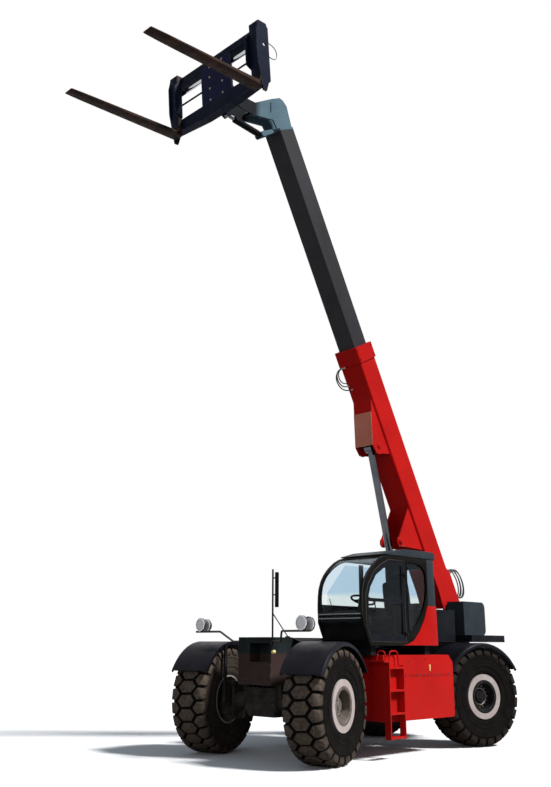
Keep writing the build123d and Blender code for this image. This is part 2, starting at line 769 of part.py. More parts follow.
# Seat on its pedestal and the steering wheel on its column
with BuildPart() as seat:
    with BuildSketch(side_plane(1140)):
        Polygon(*outline([(-1560, 1960), (-1540, 2080), (-2050, 2080), (-2160, 2720), (-2280, 2720),
                          (-2200, 1960)]), align=None)
        fillet(vertices(), 45)
    extrude(amount=500)
    with BuildSketch(Plane.XY.offset(cab_floor_z + cab_wall)):
        with Locations((front_axle_x - 1880, 890)):
            Rectangle(500, 420)
    extrude(amount=1970 - cab_floor_z - cab_wall)
save(seat, "seat")
column_foot = Vector(front_axle_x - 1020, 890, cab_floor_z + cab_wall)
column_top = Vector(front_axle_x - 1250, 890, 2330)
column_axis = (column_top - column_foot).normalized()
with BuildPart() as steering_column:
    with BuildSketch(Plane(column_foot + column_axis * 40, x_dir=(0, 1, 0), z_dir=column_axis)):
        Circle(60)
    extrude(amount=(column_top - column_foot).length - 40)
    with BuildSketch(Plane.XY.offset(cab_floor_z + cab_wall)):
        with Locations((column_foot.X, column_foot.Y)):
            Rectangle(180, 180)
    extrude(amount=60)
    wheel_plane = Plane(column_top, x_dir=(0, 1, 0), z_dir=column_axis)
    with BuildSketch(wheel_plane):
        Rectangle(360, 30)
        Circle(70)
    extrude(amount=20)
    with BuildSketch(Plane(column_top + column_axis * 10, x_dir=column_axis, z_dir=(0, 1, 0))):
        with Locations((0, 190)):
            Circle(16)
    revolve(axis=Axis(column_top, column_axis))
save(steering_column, "steering_column")

# Outer boom: box tube with a nose collar, the heel plates at the pivot and the lift bracket below
tube_length = outer_end_s - outer_start_s
section_start = Plane(
    boom_point(0, boom_centre_n) + boom_along * outer_start_s, x_dir=(0, 1, 0), z_dir=boom_along
)
bracket_half = 210
bracket_plate = 25
eye_boss_radius = 150
tube_bottom = boom_centre_n - outer_depth / 2 + outer_wall - 2
with BuildPart() as boom_outer:
    with BuildSketch(section_start):
        RectangleRounded(outer_width, outer_depth, 45)
        RectangleRounded(outer_width - 2 * outer_wall, outer_depth - 2 * outer_wall, 33, mode=Mode.SUBTRACT)
    extrude(amount=tube_length)
    with BuildSketch(section_start.offset(tube_length - collar_length)):
        RectangleRounded(outer_width + 2 * collar_rise, outer_depth + 2 * collar_rise, 60)
        RectangleRounded(inner_width + 2 * collar_gap, inner_depth + 2 * collar_gap, 30.5, mode=Mode.SUBTRACT)
    extrude(amount=collar_length)
    with BuildSketch(section_start):
        RectangleRounded(outer_width, outer_depth, 45)
    extrude(amount=25)
    # Heel cheeks outside the tube
    for y in (heel_half, -heel_half + heel_plate):
        with BuildSketch(boom_side.offset(-y)):
            Polygon((-130, 60), (60, 440), (700, 440), (1000, 250), (1000, -80), (520, -80), (140, -120),
                    (-60, -140), align=None)
            with Locations((0, 0)):
                Circle(150)
                Circle(pivot_pin_radius + pin_gap, mode=Mode.SUBTRACT)
        extrude(amount=heel_plate)
    # Lift bracket and the smaller bracket near the pivot, each a pair of plates under the tube
    for y in (bracket_half, -bracket_half + bracket_plate):
        with BuildSketch(boom_side.offset(-y)):
            Polygon((4460, tube_bottom), (3640, -470), (3480, -440), (3330, tube_bottom), align=None)
            with Locations((lift_eye_s, lift_eye_n)):
                Circle(eye_boss_radius)
        extrude(amount=bracket_plate)
        with BuildSketch(boom_side.offset(-y)):
            Polygon((1380, tube_bottom), (2250, tube_bottom), (boom_pin_s + 90, boom_pin_n),
                    (boom_pin_s - 90, boom_pin_n), align=None)
            with Locations((boom_pin_s, boom_pin_n)):
                Circle(90)
        extrude(amount=bracket_plate)
    for y in (boom_pin_half, -bracket_half + bracket_plate):
        with BuildSketch(boom_side.offset(-y)):
            with Locations((boom_pin_s, boom_pin_n)):
                Circle(45)
        extrude(amount=boom_pin_half - bracket_half + bracket_plate)
    with BuildSketch(boom_side.offset(-bracket_half)):
        Polygon((4460, tube_bottom), (3860, -360), (3850, -338), (4400, tube_bottom), align=None)
    extrude(amount=2 * bracket_half)
save(boom_outer, "boom_outer")

# Inner boom: box tube that slides in the collar, closed by a head plate
inner_start_s = outer_end_s - inner_tail
with BuildPart() as boom_inner:
    inner_start = Plane(
        boom_point(0, boom_centre_n) + boom_along * inner_start_s, x_dir=(0, 1, 0), z_dir=boom_along
    )
    with BuildSketch(inner_start):
        RectangleRounded(inner_width, inner_depth, 30)
        RectangleRounded(inner_width - 2 * inner_wall, inner_depth - 2 * inner_wall, 20, mode=Mode.SUBTRACT)
    extrude(amount=inner_end_s - inner_start_s)
save(boom_inner, "boom_inner")

# Boom head: cheeks that turn down from the tube's end to the tilt pivot
head_outline = [(inner_end_s + fit_gap, 388), (10079, 455), (10200, 400), (10250, 330), (10240, 90),
                (10190, -400), (tilt_s + 45, -850), (tilt_s - 45, -995), (tilt_s - 150, -960), (9980, -560),
                (9850, -60), (inner_end_s + fit_gap, -30)]
head_boss_radius = 80
with BuildPart() as boom_head:
    for y in (head_half_width, -head_half_width + 30):
        with BuildSketch(boom_side.offset(-y)):
            Polygon(*head_outline, align=None)
            with Locations((tilt_s, tilt_n)):
                Circle(head_boss_radius)
                Circle(tilt_pin_radius + pin_gap, mode=Mode.SUBTRACT)
            with Locations(Location((10080, -20, 0), (0, 0, 28))):
                SlotOverall(210, 34, mode=Mode.SUBTRACT)
        extrude(amount=30)
    tube_end = boom_point(inner_end_s + fit_gap, boom_centre_n)
    with BuildSketch(Plane(tube_end, x_dir=(0, 1, 0), z_dir=boom_along)):
        RectangleRounded(inner_width, inner_depth, 30)
    extrude(amount=40)
    with BuildSketch(boom_side.offset(-head_half_width)):
        Polygon((10010, -60), (10030, -520), (10070, -520), (10050, -60), align=None)
    extrude(amount=2 * head_half_width)
    # Lugs and pin that hold the tilt cylinder
    for y in (tilt_lug_half, -tilt_lug_half + 24):
        with BuildSketch(boom_side.offset(-y)):
            Polygon((inner_end_s + 4, 60), (inner_end_s + 40, 60), (inner_end_s + 60, -60),
                    (tilt_base_s + 50, tilt_base_n), (tilt_base_s - 50, tilt_base_n), (inner_end_s + 4, -45),
                    align=None)
            with Locations((tilt_base_s, tilt_base_n)):
                Circle(50)
        extrude(amount=24)
    with BuildSketch(boom_side.offset(-tilt_lug_half)):
        with Locations((tilt_base_s, tilt_base_n)):
            Circle(tilt_base_pin)
    extrude(amount=2 * tilt_lug_half)
save(boom_head, "boom_head")

# Carriage planes: local x runs along the forks and local y up the carriage, from the tilt pivot
lean = radians(carriage_lean)
tilt_point = boom_point(tilt_s, tilt_n)
fork_along = Vector(cos(lean), 0, -sin(lean))
carriage_up = Vector(sin(lean), 0, cos(lean))


def carriage_side(y):
    """Plane across the carriage at a given Y."""
    return Plane(tilt_point + Vector(0, y, 0), x_dir=fork_along, z_dir=(0, -1, 0))


end_profile = [(beam_back, -180), (195, -480), (beam_front + 20, -480), (beam_front + 120, 60),
               (beam_front + 120, 560), (beam_front + 60, carriage_top + 60), (beam_back + 40, carriage_top + 60),
               (beam_back, carriage_top - 40)]
lower_beam_top = carriage_bottom + lower_beam_height
with BuildPart() as carriage:
    for y in (carriage_half_width, -carriage_half_width + carriage_plate):
        with BuildSketch(carriage_side(y)):
            Polygon(*end_profile, align=None)
            with Locations((lashing_x, lashing_y)):
                Circle(lashing_radius, mode=Mode.SUBTRACT)
        extrude(amount=carriage_plate)
    for y in (260, -230):
        with BuildSketch(carriage_side(y)):
            Polygon((beam_back, carriage_bottom), (beam_front, carriage_bottom), (beam_front, carriage_top),
                    (beam_back, carriage_top), align=None)
        extrude(amount=30)
    # Lower beam with its bottom sloping up to both ends, and the centre plate between the beams
    with BuildSketch(Plane(tilt_point + fork_along * beam_back, x_dir=(0, 1, 0), z_dir=fork_along)):
        Polygon((-carriage_half_width, lower_beam_top), (-carriage_half_width, carriage_end_bottom),
                (-340, carriage_bottom), (340, carriage_bottom), (carriage_half_width, carriage_end_bottom),
                (carriage_half_width, lower_beam_top), align=None)
    extrude(amount=beam_front - beam_back)
    with BuildSketch(Plane(tilt_point + fork_along * (beam_front - 22), x_dir=(0, 1, 0), z_dir=fork_along)):
        Polygon((-385, lower_beam_top - 10), (-385, carriage_top - 110), (385, carriage_top - 110),
                (385, lower_beam_top - 10), align=None)
    extrude(amount=20)
    with BuildSketch(carriage_side(carriage_half_width)):
        Polygon((beam_back, carriage_top - upper_beam_height), (beam_front, carriage_top - upper_beam_height),
                (beam_front, carriage_top), (beam_back, carriage_top), align=None)
        with Locations((guide_x, guide_y)):
            Circle(guide_radius)
        with Locations((guide_x, thin_guide_y)):
            Circle(thin_guide_radius)
    extrude(amount=2 * carriage_half_width)
    # Hinge brackets round the tilt pin and the lugs of the tilt cylinder's eye
    bracket_inner = head_half_width + 8
    for y in (bracket_inner + 34, -bracket_inner):
        with BuildSketch(carriage_side(y)):
            Polygon((-60, -120), (beam_back + 1, carriage_bottom + 40), (beam_back + 1, 200), (-40, 115),
                    align=None)
            with Locations((0, 0)):
                Circle(120)
        extrude(amount=34)
    with BuildSketch(carriage_side(bracket_inner + 34)):
        Circle(tilt_pin_radius)
    extrude(amount=2 * (bracket_inner + 34))
    for y in (70, -48):
        with BuildSketch(carriage_side(y)):
            Polygon((beam_back + 10, -160), (beam_back + 10, carriage_bottom + 4), (tilt_eye_x, tilt_eye_y - 44),
                    (tilt_eye_x - 40, tilt_eye_y + 20), align=None)
            with Locations((tilt_eye_x, tilt_eye_y)):
                Circle(44)
        extrude(amount=22)
save(carriage, "carriage")

# Forks: tapered blade, shank and the hook over the upper beam
shank_back = beam_front + fit_gap
shank_front = shank_back + fork_thickness
for label, y in (("fork_left", fork_half_spacing), ("fork_right", -fork_half_spacing)):
    with BuildPart() as fork:
        with BuildSketch(carriage_side(y + fork_width / 2)):
            Polygon((shank_back, fork_bottom), (fork_reach, fork_bottom + 30),
                    (fork_reach, fork_bottom + 30 + fork_tip_thickness),
                    (shank_front + 40, fork_bottom + fork_thickness),
                    (shank_front, fork_bottom + fork_thickness + 40), (shank_front, carriage_top + 50),
                    (beam_front - 60, carriage_top + 50), (beam_front - 60, carriage_top + fit_gap),
                    (shank_back, carriage_top + fit_gap), align=None)
        extrude(amount=fork_width)
        # Cheek of the sliding cradle on the blade's inner side
        cheek_y = y - (fork_width / 2 - 1) if y > 0 else y + fork_width / 2 - 1 + fork_cheek
        with BuildSketch(carriage_side(cheek_y)):
            Polygon((shank_back, -60), (shank_front + 90, 20), (shank_front + 90, 560), (shank_back + 30, 640),
                    (shank_back, 640), align=None)
        extrude(amount=fork_cheek)
        tip = fork.edges().filter_by(lambda e: (e.center() - tilt_point).dot(fork_along) > fork_reach - 5
                                     and e.length < fork_tip_thickness + 5)
        fillet(tip, 60)
    save(fork, label)

# Lift cylinder: barrel on the frame's pin and rod up to the boom's bracket
lift_base = Vector(front_axle_x + lift_base_x, 0, lift_base_z)
lift_eye = boom_point(lift_eye_s, lift_eye_n)
lift_axis = (lift_eye - lift_base).normalized()
lift_length = (lift_eye - lift_base).length
with BuildPart() as lift_barrel:
    with BuildSketch(Plane(lift_base + lift_axis * 90, x_dir=(0, 1, 0), z_dir=lift_axis)):
        Circle(lift_barrel_radius)
    extrude(amount=lift_barrel_length - 90)
    with BuildSketch(Plane(lift_base + lift_axis * lift_rod_start, x_dir=(0, 1, 0), z_dir=lift_axis)):
        Circle(lift_rod_radius + fit_gap)
    extrude(amount=lift_barrel_length, mode=Mode.SUBTRACT)
    with BuildSketch(side_plane(100)):
        with Locations((lift_base.X, lift_base.Z)):
            Circle(110)
    extrude(amount=200)
    with BuildSketch(side_plane(101)):
        with Locations((lift_base.X, lift_base.Z)):
            Circle(lift_pin_radius + pin_gap)
    extrude(amount=202, mode=Mode.SUBTRACT)
save(lift_barrel, "lift_barrel")
with BuildPart() as lift_rod:
    with BuildSketch(Plane(lift_base + lift_axis * rod_back, x_dir=(0, 1, 0), z_dir=lift_axis)):
        Circle(lift_rod_radius)
    extrude(amount=lift_length - rod_back - 60)
    with BuildSketch(side_plane(80)):
        with Locations((lift_eye.X, lift_eye.Z)):
            Circle(100)
            Circle(48, mode=Mode.SUBTRACT)
    extrude(amount=160)
save(lift_rod, "lift_rod")

# Tilt cylinder: barrel on the head's pin and rod to the lugs behind the carriage
tilt_base = boom_point(tilt_base_s, tilt_base_n)
tilt_eye = tilt_point + fork_along * tilt_eye_x + carriage_up * tilt_eye_y
tilt_axis = (tilt_eye - tilt_base).normalized()
tilt_length = (tilt_eye - tilt_base).length
with BuildPart() as tilt_barrel:
    with BuildSketch(Plane(tilt_base + tilt_axis * 40, x_dir=(0, 1, 0), z_dir=tilt_axis)):
        Circle(tilt_barrel_radius)
    extrude(amount=tilt_barrel_length - 40)
    with BuildSketch(side_plane(tilt_barrel_radius)):
        with Locations((tilt_base.X, tilt_base.Z)):
            Circle(46)
    extrude(amount=2 * tilt_barrel_radius)
    with BuildSketch(Plane(tilt_base + tilt_axis * 110, x_dir=(0, 1, 0), z_dir=tilt_axis)):
        Circle(tilt_rod_radius + fit_gap)
    extrude(amount=tilt_barrel_length, mode=Mode.SUBTRACT)
    with BuildSketch(side_plane(tilt_barrel_radius + 1)):
        with Locations((tilt_base.X, tilt_base.Z)):
            Circle(tilt_base_pin + pin_gap)
    extrude(amount=2 * tilt_barrel_radius + 2, mode=Mode.SUBTRACT)
save(tilt_barrel, "tilt_barrel")
with BuildPart() as tilt_rod:
    with BuildSketch(Plane(tilt_base + tilt_axis * tilt_rod_back, x_dir=(0, 1, 0), z_dir=tilt_axis)):
        Circle(tilt_rod_radius)
    extrude(amount=tilt_length - tilt_rod_back - 30)
    with BuildSketch(side_plane(40)):
        with Locations((tilt_eye.X, tilt_eye.Z)):
            Circle(42)
            Circle(20, mode=Mode.SUBTRACT)
    extrude(amount=80)
save(tilt_rod, "tilt_rod")

# Work lamps on bent arms: one drum with a ring faces forwards, a second stands close behind it
lamp_z = 1950
lamp_x = front_axle_x + 420
lamp_radius = 105
arm_x = lamp_x - 170
arm_z = 1690
bar_z = 1840
with BuildPart() as work_lamps:
    for side in (1, -1):
        with BuildLine() as arm:
            FilletPolyline(
                (arm_x, side * (channel_half_width + plate_thickness + fit_gap), arm_z),
                (arm_x, side * 520, arm_z),
                (lamp_x - 30, side * 680, bar_z),
                (lamp_x - 30, side * 1260, bar_z),
                radius=50,
            )
        with BuildSketch(Plane(arm.line @ 0, z_dir=arm.line % 0)):
            Circle(16)
        sweep()
        for back, y, z in ((20, 1115, lamp_z), (-115, 1135, lamp_z - 14)):
            lamp_face = Plane(Vector(lamp_x + back, side * y, z), x_dir=(0, 1, 0), z_dir=(1, 0, 0))
            with BuildSketch(lamp_face):
                Circle(lamp_radius)
            extrude(amount=-35)
            with BuildSketch(lamp_face):
                Circle(lamp_radius - 14)
            extrude(amount=-12, mode=Mode.SUBTRACT)
            with BuildSketch(lamp_face.offset(-35)):
                Circle(lamp_radius - 12)
            extrude(amount=-40, taper=28)
        with BuildSketch(Plane.XY.offset(bar_z - 8)):
            with Locations((lamp_x - 66, side * 1125)):
                Rectangle(150, 40)
        extrude(amount=24)
save(work_lamps, "work_lamps")

# Mirror pole on its foot, with a brace, and two mirror heads turned half across
pole_x = front_axle_x + 350
pole_y = channel_half_width + plate_thickness + 90
pole_radius = 13.5
foot_z = 1722
mirror_across = Vector(0.72, 0.69, 0).normalized()
mirror_normal = Vector(-0.69, 0.72, 0).normalized()
mirror_offset = 62
with BuildPart() as mirrors:
    block_side = channel_half_width + plate_thickness + fit_gap
    with BuildSketch(Plane.XY.offset(foot_z)):
        Polygon(*[(front_axle_x + x, y) for x, y in
                  ((268, block_side), (268, block_side + 70), (335, pole_y + 25), (375, pole_y + 25),
                   (375, pole_y - 22), (282, block_side))], align=None)
    extrude(amount=20)
    with BuildSketch(Plane.XY.offset(foot_z)):
        with Locations((pole_x, pole_y)):
            Circle(pole_radius)
    extrude(amount=2750 - foot_z)
    for z, height in ((2620, 165), (2370, 360)):
        place = Vector(pole_x, pole_y, z) + mirror_normal * mirror_offset
        with BuildSketch(Plane(place, x_dir=mirror_across, z_dir=mirror_normal)):
            RectangleRounded(190, height, 30)
        extrude(amount=28, both=True)
        with BuildSketch(Plane(Vector(pole_x, pole_y, z), x_dir=(0, 0, 1), z_dir=mirror_normal)):
            Circle(9)
        extrude(amount=mirror_offset)
    brace_start = Vector(pole_x, pole_y, 2100)
    brace_foot = Vector(front_axle_x - 100, 330, chassis_top + 22)
    brace = brace_foot - brace_start
    with BuildSketch(Plane(brace_start, z_dir=brace)):
        Circle(8)
    extrude(amount=brace.length)
    with BuildSketch(Plane.XY.offset(chassis_top + 10 + fit_gap)):
        with Locations((brace_foot.X, brace_foot.Y)):
            Rectangle(60, 50)
    extrude(amount=16)
save(mirrors, "mirrors")

# Access ladder on the tank, its top platform and two hoop rails
ladder_x = front_axle_x - 1300
ladder_y = cab_left_y + 20
ladder_depth = 110
platform_z = 1395
with BuildPart() as ladder:
    for x, top in ((-180, 1350), (180, platform_z + 30)):
        with BuildSketch(Plane.XY.offset(290)):
            with Locations((ladder_x + x, ladder_y + fit_gap + ladder_depth / 2)):
                Rectangle(20, ladder_depth)
        extrude(amount=top - 290)
    for z in (300, 640, 970, 1300):
        with BuildSketch(Plane.XY.offset(z)):
            with Locations((ladder_x, ladder_y + fit_gap + ladder_depth / 2)):
                Rectangle(360, ladder_depth)
        extrude(amount=30)
    with BuildSketch(Plane.XY.offset(platform_z)):
        Polygon(*outline([(-1109, 1092), (-996, 1092), (-996, ladder_y + ladder_depth),
                          (-1130, ladder_y + ladder_depth), (-1130, ladder_y + 1), (-1109, ladder_y + 1)]),
                align=None)
    extrude(amount=30)
    rail_x = front_axle_x - 1050
    platform_rail = [(rail_x, 1300, platform_z + 15), (rail_x, 1320, 1560), (rail_x, 1455, 1560),
                     (rail_x, 1475, platform_z + 15)]
    ladder_rail = [(ladder_x - 120, ladder_y + 50, 1315), (ladder_x - 100, ladder_y + 50, 1560),
                   (ladder_x + 100, ladder_y + 50, 1560), (ladder_x + 120, ladder_y + 50, 1315)]
    for rail in (platform_rail, ladder_rail):
        with BuildLine() as hoop:
            FilletPolyline(*rail, radius=60)
        with BuildSketch(Plane(hoop.line @ 0, z_dir=hoop.line % 0)):
            Circle(11)
        sweep()
save(ladder, "ladder")
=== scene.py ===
import json
import math
import bmesh
import bpy
from mathutils import Matrix, Vector


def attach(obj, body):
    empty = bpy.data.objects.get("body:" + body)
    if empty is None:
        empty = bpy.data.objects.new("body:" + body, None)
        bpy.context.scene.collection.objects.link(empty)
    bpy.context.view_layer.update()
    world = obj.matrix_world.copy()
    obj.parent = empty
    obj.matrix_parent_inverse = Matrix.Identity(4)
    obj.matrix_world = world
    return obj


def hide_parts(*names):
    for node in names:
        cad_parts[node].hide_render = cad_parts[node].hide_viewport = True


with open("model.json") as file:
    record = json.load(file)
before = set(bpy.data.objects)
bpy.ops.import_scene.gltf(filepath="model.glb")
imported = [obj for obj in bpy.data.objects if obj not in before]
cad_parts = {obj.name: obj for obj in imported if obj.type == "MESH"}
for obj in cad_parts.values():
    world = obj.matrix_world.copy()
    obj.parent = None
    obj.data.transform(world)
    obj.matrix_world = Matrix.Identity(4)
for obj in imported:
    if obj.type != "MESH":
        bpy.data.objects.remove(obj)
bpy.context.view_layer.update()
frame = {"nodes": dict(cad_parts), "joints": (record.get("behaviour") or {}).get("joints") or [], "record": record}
nodes = frame["nodes"]
print("frame loaded with", len(nodes), "nodes")


def addObject(name, data):
    thing = bpy.data.objects.new(name, data)
    bpy.context.scene.collection.objects.link(thing)
    return thing


# Camera, fitted to the wheels of the photograph; the model's X is counted from the middle of its box
cameraPlace = {
    "location": (10.7388, 10.0220, 1.6357),
    "yaw": 3.925423,
    "pitch": 0.280788,
    "roll": 0.005236,
    "focalPixels": 873.16,
    "imageSize": (551, 787),
}


def makeCamera(place):
    yaw, pitch, roll = place["yaw"], place["pitch"], place["roll"]
    forward = Vector((math.cos(yaw) * math.cos(pitch), math.sin(yaw) * math.cos(pitch), math.sin(pitch)))
    right = Vector((math.sin(yaw), -math.cos(yaw), 0.0))
    up = right.cross(forward)
    rolledRight = right * math.cos(roll) + up * math.sin(roll)
    rolledUp = up * math.cos(roll) - right * math.sin(roll)
    data = bpy.data.cameras.new("camera")
    data.sensor_width = 36.0
    data.sensor_fit = "AUTO"
    data.lens = place["focalPixels"] * 36.0 / max(place["imageSize"])
    data.clip_end = 400.0
    camera = addObject("camera", data)
    turn = Matrix((rolledRight, rolledUp, -forward)).transposed().to_4x4()
    camera.matrix_world = Matrix.Translation(Vector(place["location"])) @ turn
    bpy.context.scene.camera = camera


makeCamera(cameraPlace)
print("camera placed")

# Studio: pale floor that keeps the shadow, white backdrop through the world, soft lamps
studio = {
    "floorHalf": 90.0,
    "floorSeen": 0.97,
    "floorBounce": 0.16,
    "worldStrength": 0.24,
    "groundColour": (0.42, 0.40, 0.38),
    "horizonColour": (1.0, 1.0, 1.0),
    "skyColour": (0.72, 0.84, 1.0),
    "groundStop": 0.44,
    "horizonStop": 0.52,
    "skyStop": 0.85,
    "keyStrength": 4.3,
    "keyAngle": 9.0,
    "keyDirection": (0.36, -0.74, -0.88),
    "fillStrength": 0.26,
    "fillAngle": 30.0,
    "fillDirection": (-0.9, -0.35, -0.25),
}


def newNode(tree, kind, **settings):
    node = tree.nodes.new("ShaderNode" + kind)
    for key, value in settings.items():
        setattr(node, key, value)
    return node


def newMaterial(name):
    material = bpy.data.materials.new(name)
    material.use_nodes = True
    material.node_tree.nodes.clear()
    return material, material.node_tree


def fit(tree, value, low, high, toLow=0.0, toHigh=1.0):
    span = newNode(tree, "MapRange")
    for key, number in (("From Min", low), ("From Max", high), ("To Min", toLow), ("To Max", toHigh)):
        span.inputs[key].default_value = number
    tree.links.new(value, span.inputs["Value"])
    return span.outputs[0]


def seenRays(tree):
    path = newNode(tree, "LightPath")
    first = newNode(tree, "Math", operation="MAXIMUM")
    both = newNode(tree, "Math", operation="MAXIMUM")
    tree.links.new(path.outputs["Is Camera Ray"], first.inputs[0])
    tree.links.new(path.outputs["Is Transmission Ray"], first.inputs[1])
    tree.links.new(first.outputs[0], both.inputs[0])
    tree.links.new(path.outputs["Is Glossy Ray"], both.inputs[1])
    return both.outputs[0]


def makeWorld():
    world = bpy.data.worlds.new("studio")
    world.use_nodes = True
    tree = world.node_tree
    tree.nodes.clear()
    link = tree.links.new
    out = newNode(tree, "OutputWorld")
    place = newNode(tree, "TexCoord")
    split = newNode(tree, "SeparateXYZ")
    ramp = newNode(tree, "ValToRGB")
    light = newNode(tree, "Background")
    light.inputs["Strength"].default_value = studio["worldStrength"]
    stops = ramp.color_ramp.elements
    stops[0].position, stops[1].position = studio["groundStop"], studio["skyStop"]
    stops[0].color = (*studio["groundColour"], 1.0)
    stops[1].color = (*studio["skyColour"], 1.0)
    horizon = stops.new(studio["horizonStop"])
    horizon.color = (*studio["horizonColour"], 1.0)
    link(place.outputs["Generated"], split.inputs[0])
    link(fit(tree, split.outputs["Z"], -1.0, 1.0), ramp.inputs[0])
    link(ramp.outputs[0], light.inputs["Color"])
    white = newNode(tree, "Background")
    white.inputs["Color"].default_value = (1.0, 1.0, 1.0, 1.0)
    white.inputs["Strength"].default_value = 1.0
    mix = newNode(tree, "MixShader")
    link(seenRays(tree), mix.inputs[0])
    link(light.outputs[0], mix.inputs[1])
    link(white.outputs[0], mix.inputs[2])
    link(mix.outputs[0], out.inputs[0])
    bpy.context.scene.world = world


def makeFloor():
    bm = bmesh.new()
    bmesh.ops.create_grid(bm, x_segments=1, y_segments=1, size=studio["floorHalf"])
    mesh = bpy.data.meshes.new("floor")
    bm.to_mesh(mesh)
    bm.free()
    floor = addObject("floor", mesh)
    material, tree = newMaterial("paleFloor")
    out = newNode(tree, "OutputMaterial")
    plain = newNode(tree, "BsdfDiffuse")
    shade = newNode(tree, "Mix", data_type="RGBA")
    shade.inputs[6].default_value = (*[studio["floorBounce"]] * 3, 1.0)
    shade.inputs[7].default_value = (*[studio["floorSeen"]] * 3, 1.0)
    tree.links.new(seenRays(tree), shade.inputs["Factor"])
    tree.links.new(shade.outputs[2], plain.inputs["Color"])
    tree.links.new(plain.outputs[0], out.inputs[0])
    mesh.materials.append(material)


def makeSun(name, direction, strength, angle):
    data = bpy.data.lights.new(name, "SUN")
    data.energy = strength
    data.angle = math.radians(angle)
    sun = addObject(name, data)
    sun.matrix_world = Vector(direction).to_track_quat("-Z", "Y").to_matrix().to_4x4()


bpy.context.scene.view_settings.view_transform = "Standard"
makeWorld()
makeFloor()
makeSun("key", studio["keyDirection"], studio["keyStrength"], studio["keyAngle"])
makeSun("fill", studio["fillDirection"], studio["fillStrength"], studio["fillAngle"])
print("studio ready")


# Surfaces: one recipe of blotches, dust from below, edge wear that on some paints is a painted edge highlight, an
# optional colour band along one axis, gloss variation and grain
def makeSurface(name, colour, second, roughness=0.5, spread=0.1, metallic=0.0, blotch=3.0, grain=90.0,
                depth=0.0006, dust=0.0, dustTop=1.6, dustColour=(0.30, 0.26, 0.22), wearAndHighlight=0.0,
                wearAndHighlightColour=(0.4, 0.4, 0.4), coat=0.0, specular=0.02, region=None):
    material, tree = newMaterial(name)
    link = tree.links.new
    out = newNode(tree, "OutputMaterial")
    shader = newNode(tree, "BsdfPrincipled")
    shader.inputs["Metallic"].default_value = metallic
    shader.inputs["Coat Weight"].default_value = coat
    shader.inputs["Coat Roughness"].default_value = 0.06
    shader.inputs["Specular IOR Level"].default_value = specular
    link(shader.outputs[0], out.inputs[0])
    place = newNode(tree, "TexCoord")

    def noise(scale, detail=4.0):
        texture = newNode(tree, "TexNoise")
        texture.inputs["Scale"].default_value = scale
        texture.inputs["Detail"].default_value = detail
        link(place.outputs["Object"], texture.inputs["Vector"])
        return texture.outputs["Fac"]

    def times(first, other):
        product = newNode(tree, "Math", operation="MULTIPLY")
        link(first, product.inputs[0])
        link(other, product.inputs[1])
        return product.outputs[0]

    def blend(factor, under, over):
        mix = newNode(tree, "Mix", data_type="RGBA")
        link(factor, mix.inputs["Factor"])
        for socket, value in ((mix.inputs[6], under), (mix.inputs[7], over)):
            if isinstance(value, tuple):
                socket.default_value = (*value, 1.0)
            else:
                link(value, socket)
        return mix.outputs[2]

    tone = blend(fit(tree, noise(blotch), 0.35, 0.65), colour, second)
    if region:
        axis, start, end, inside = region
        parts = newNode(tree, "SeparateXYZ")
        link(place.outputs["Object"], parts.inputs[0])
        tone = blend(fit(tree, parts.outputs[axis], start, end), tone, inside)
    # lighter colour on the edges: real edge wear on most paints, a painted highlight along the edges where the
    # colour is pale
    if wearAndHighlight:
        geometry = newNode(tree, "NewGeometry")
        bevel = newNode(tree, "Bevel", samples=4)
        bevel.inputs["Radius"].default_value = 0.012
        facing = newNode(tree, "VectorMath", operation="DOT_PRODUCT")
        link(bevel.outputs[0], facing.inputs[0])
        link(geometry.outputs["Normal"], facing.inputs[1])
        edge = times(fit(tree, facing.outputs["Value"], 0.97, 0.8, 0.0, wearAndHighlight),
                     fit(tree, noise(14.0), 0.42, 0.6))
        tone = blend(edge, tone, wearAndHighlightColour)
    if dust:
        split = newNode(tree, "SeparateXYZ")
        link(place.outputs["Object"], split.inputs[0])
        low = times(fit(tree, split.outputs["Z"], 0.2, dustTop, dust, 0.0),
                    fit(tree, noise(5.0, 8.0), 0.3, 0.62, 0.25))
        tone = blend(low, tone, dustColour)
    link(tone, shader.inputs["Base Color"])
    link(fit(tree, noise(blotch * 2.3), 0.3, 0.7, roughness - spread, roughness + spread),
         shader.inputs["Roughness"])
    bump = newNode(tree, "Bump")
    bump.inputs["Distance"].default_value = depth
    bump.inputs["Strength"].default_value = 0.5
    link(noise(grain, 2.0), bump.inputs["Height"])
    link(bump.outputs[0], shader.inputs["Normal"])
    return material


glassLook = {
    "roughness": 0.02,
    "glossTintScale": 2.5,
    "paintedSkyGlossColours": ((0.70, 0.78, 0.85), (0.92, 0.96, 1.0)),
    "steepness": 4.0,
    "edgeGloss": 0.40,
    "leastGloss": 0.003,
}
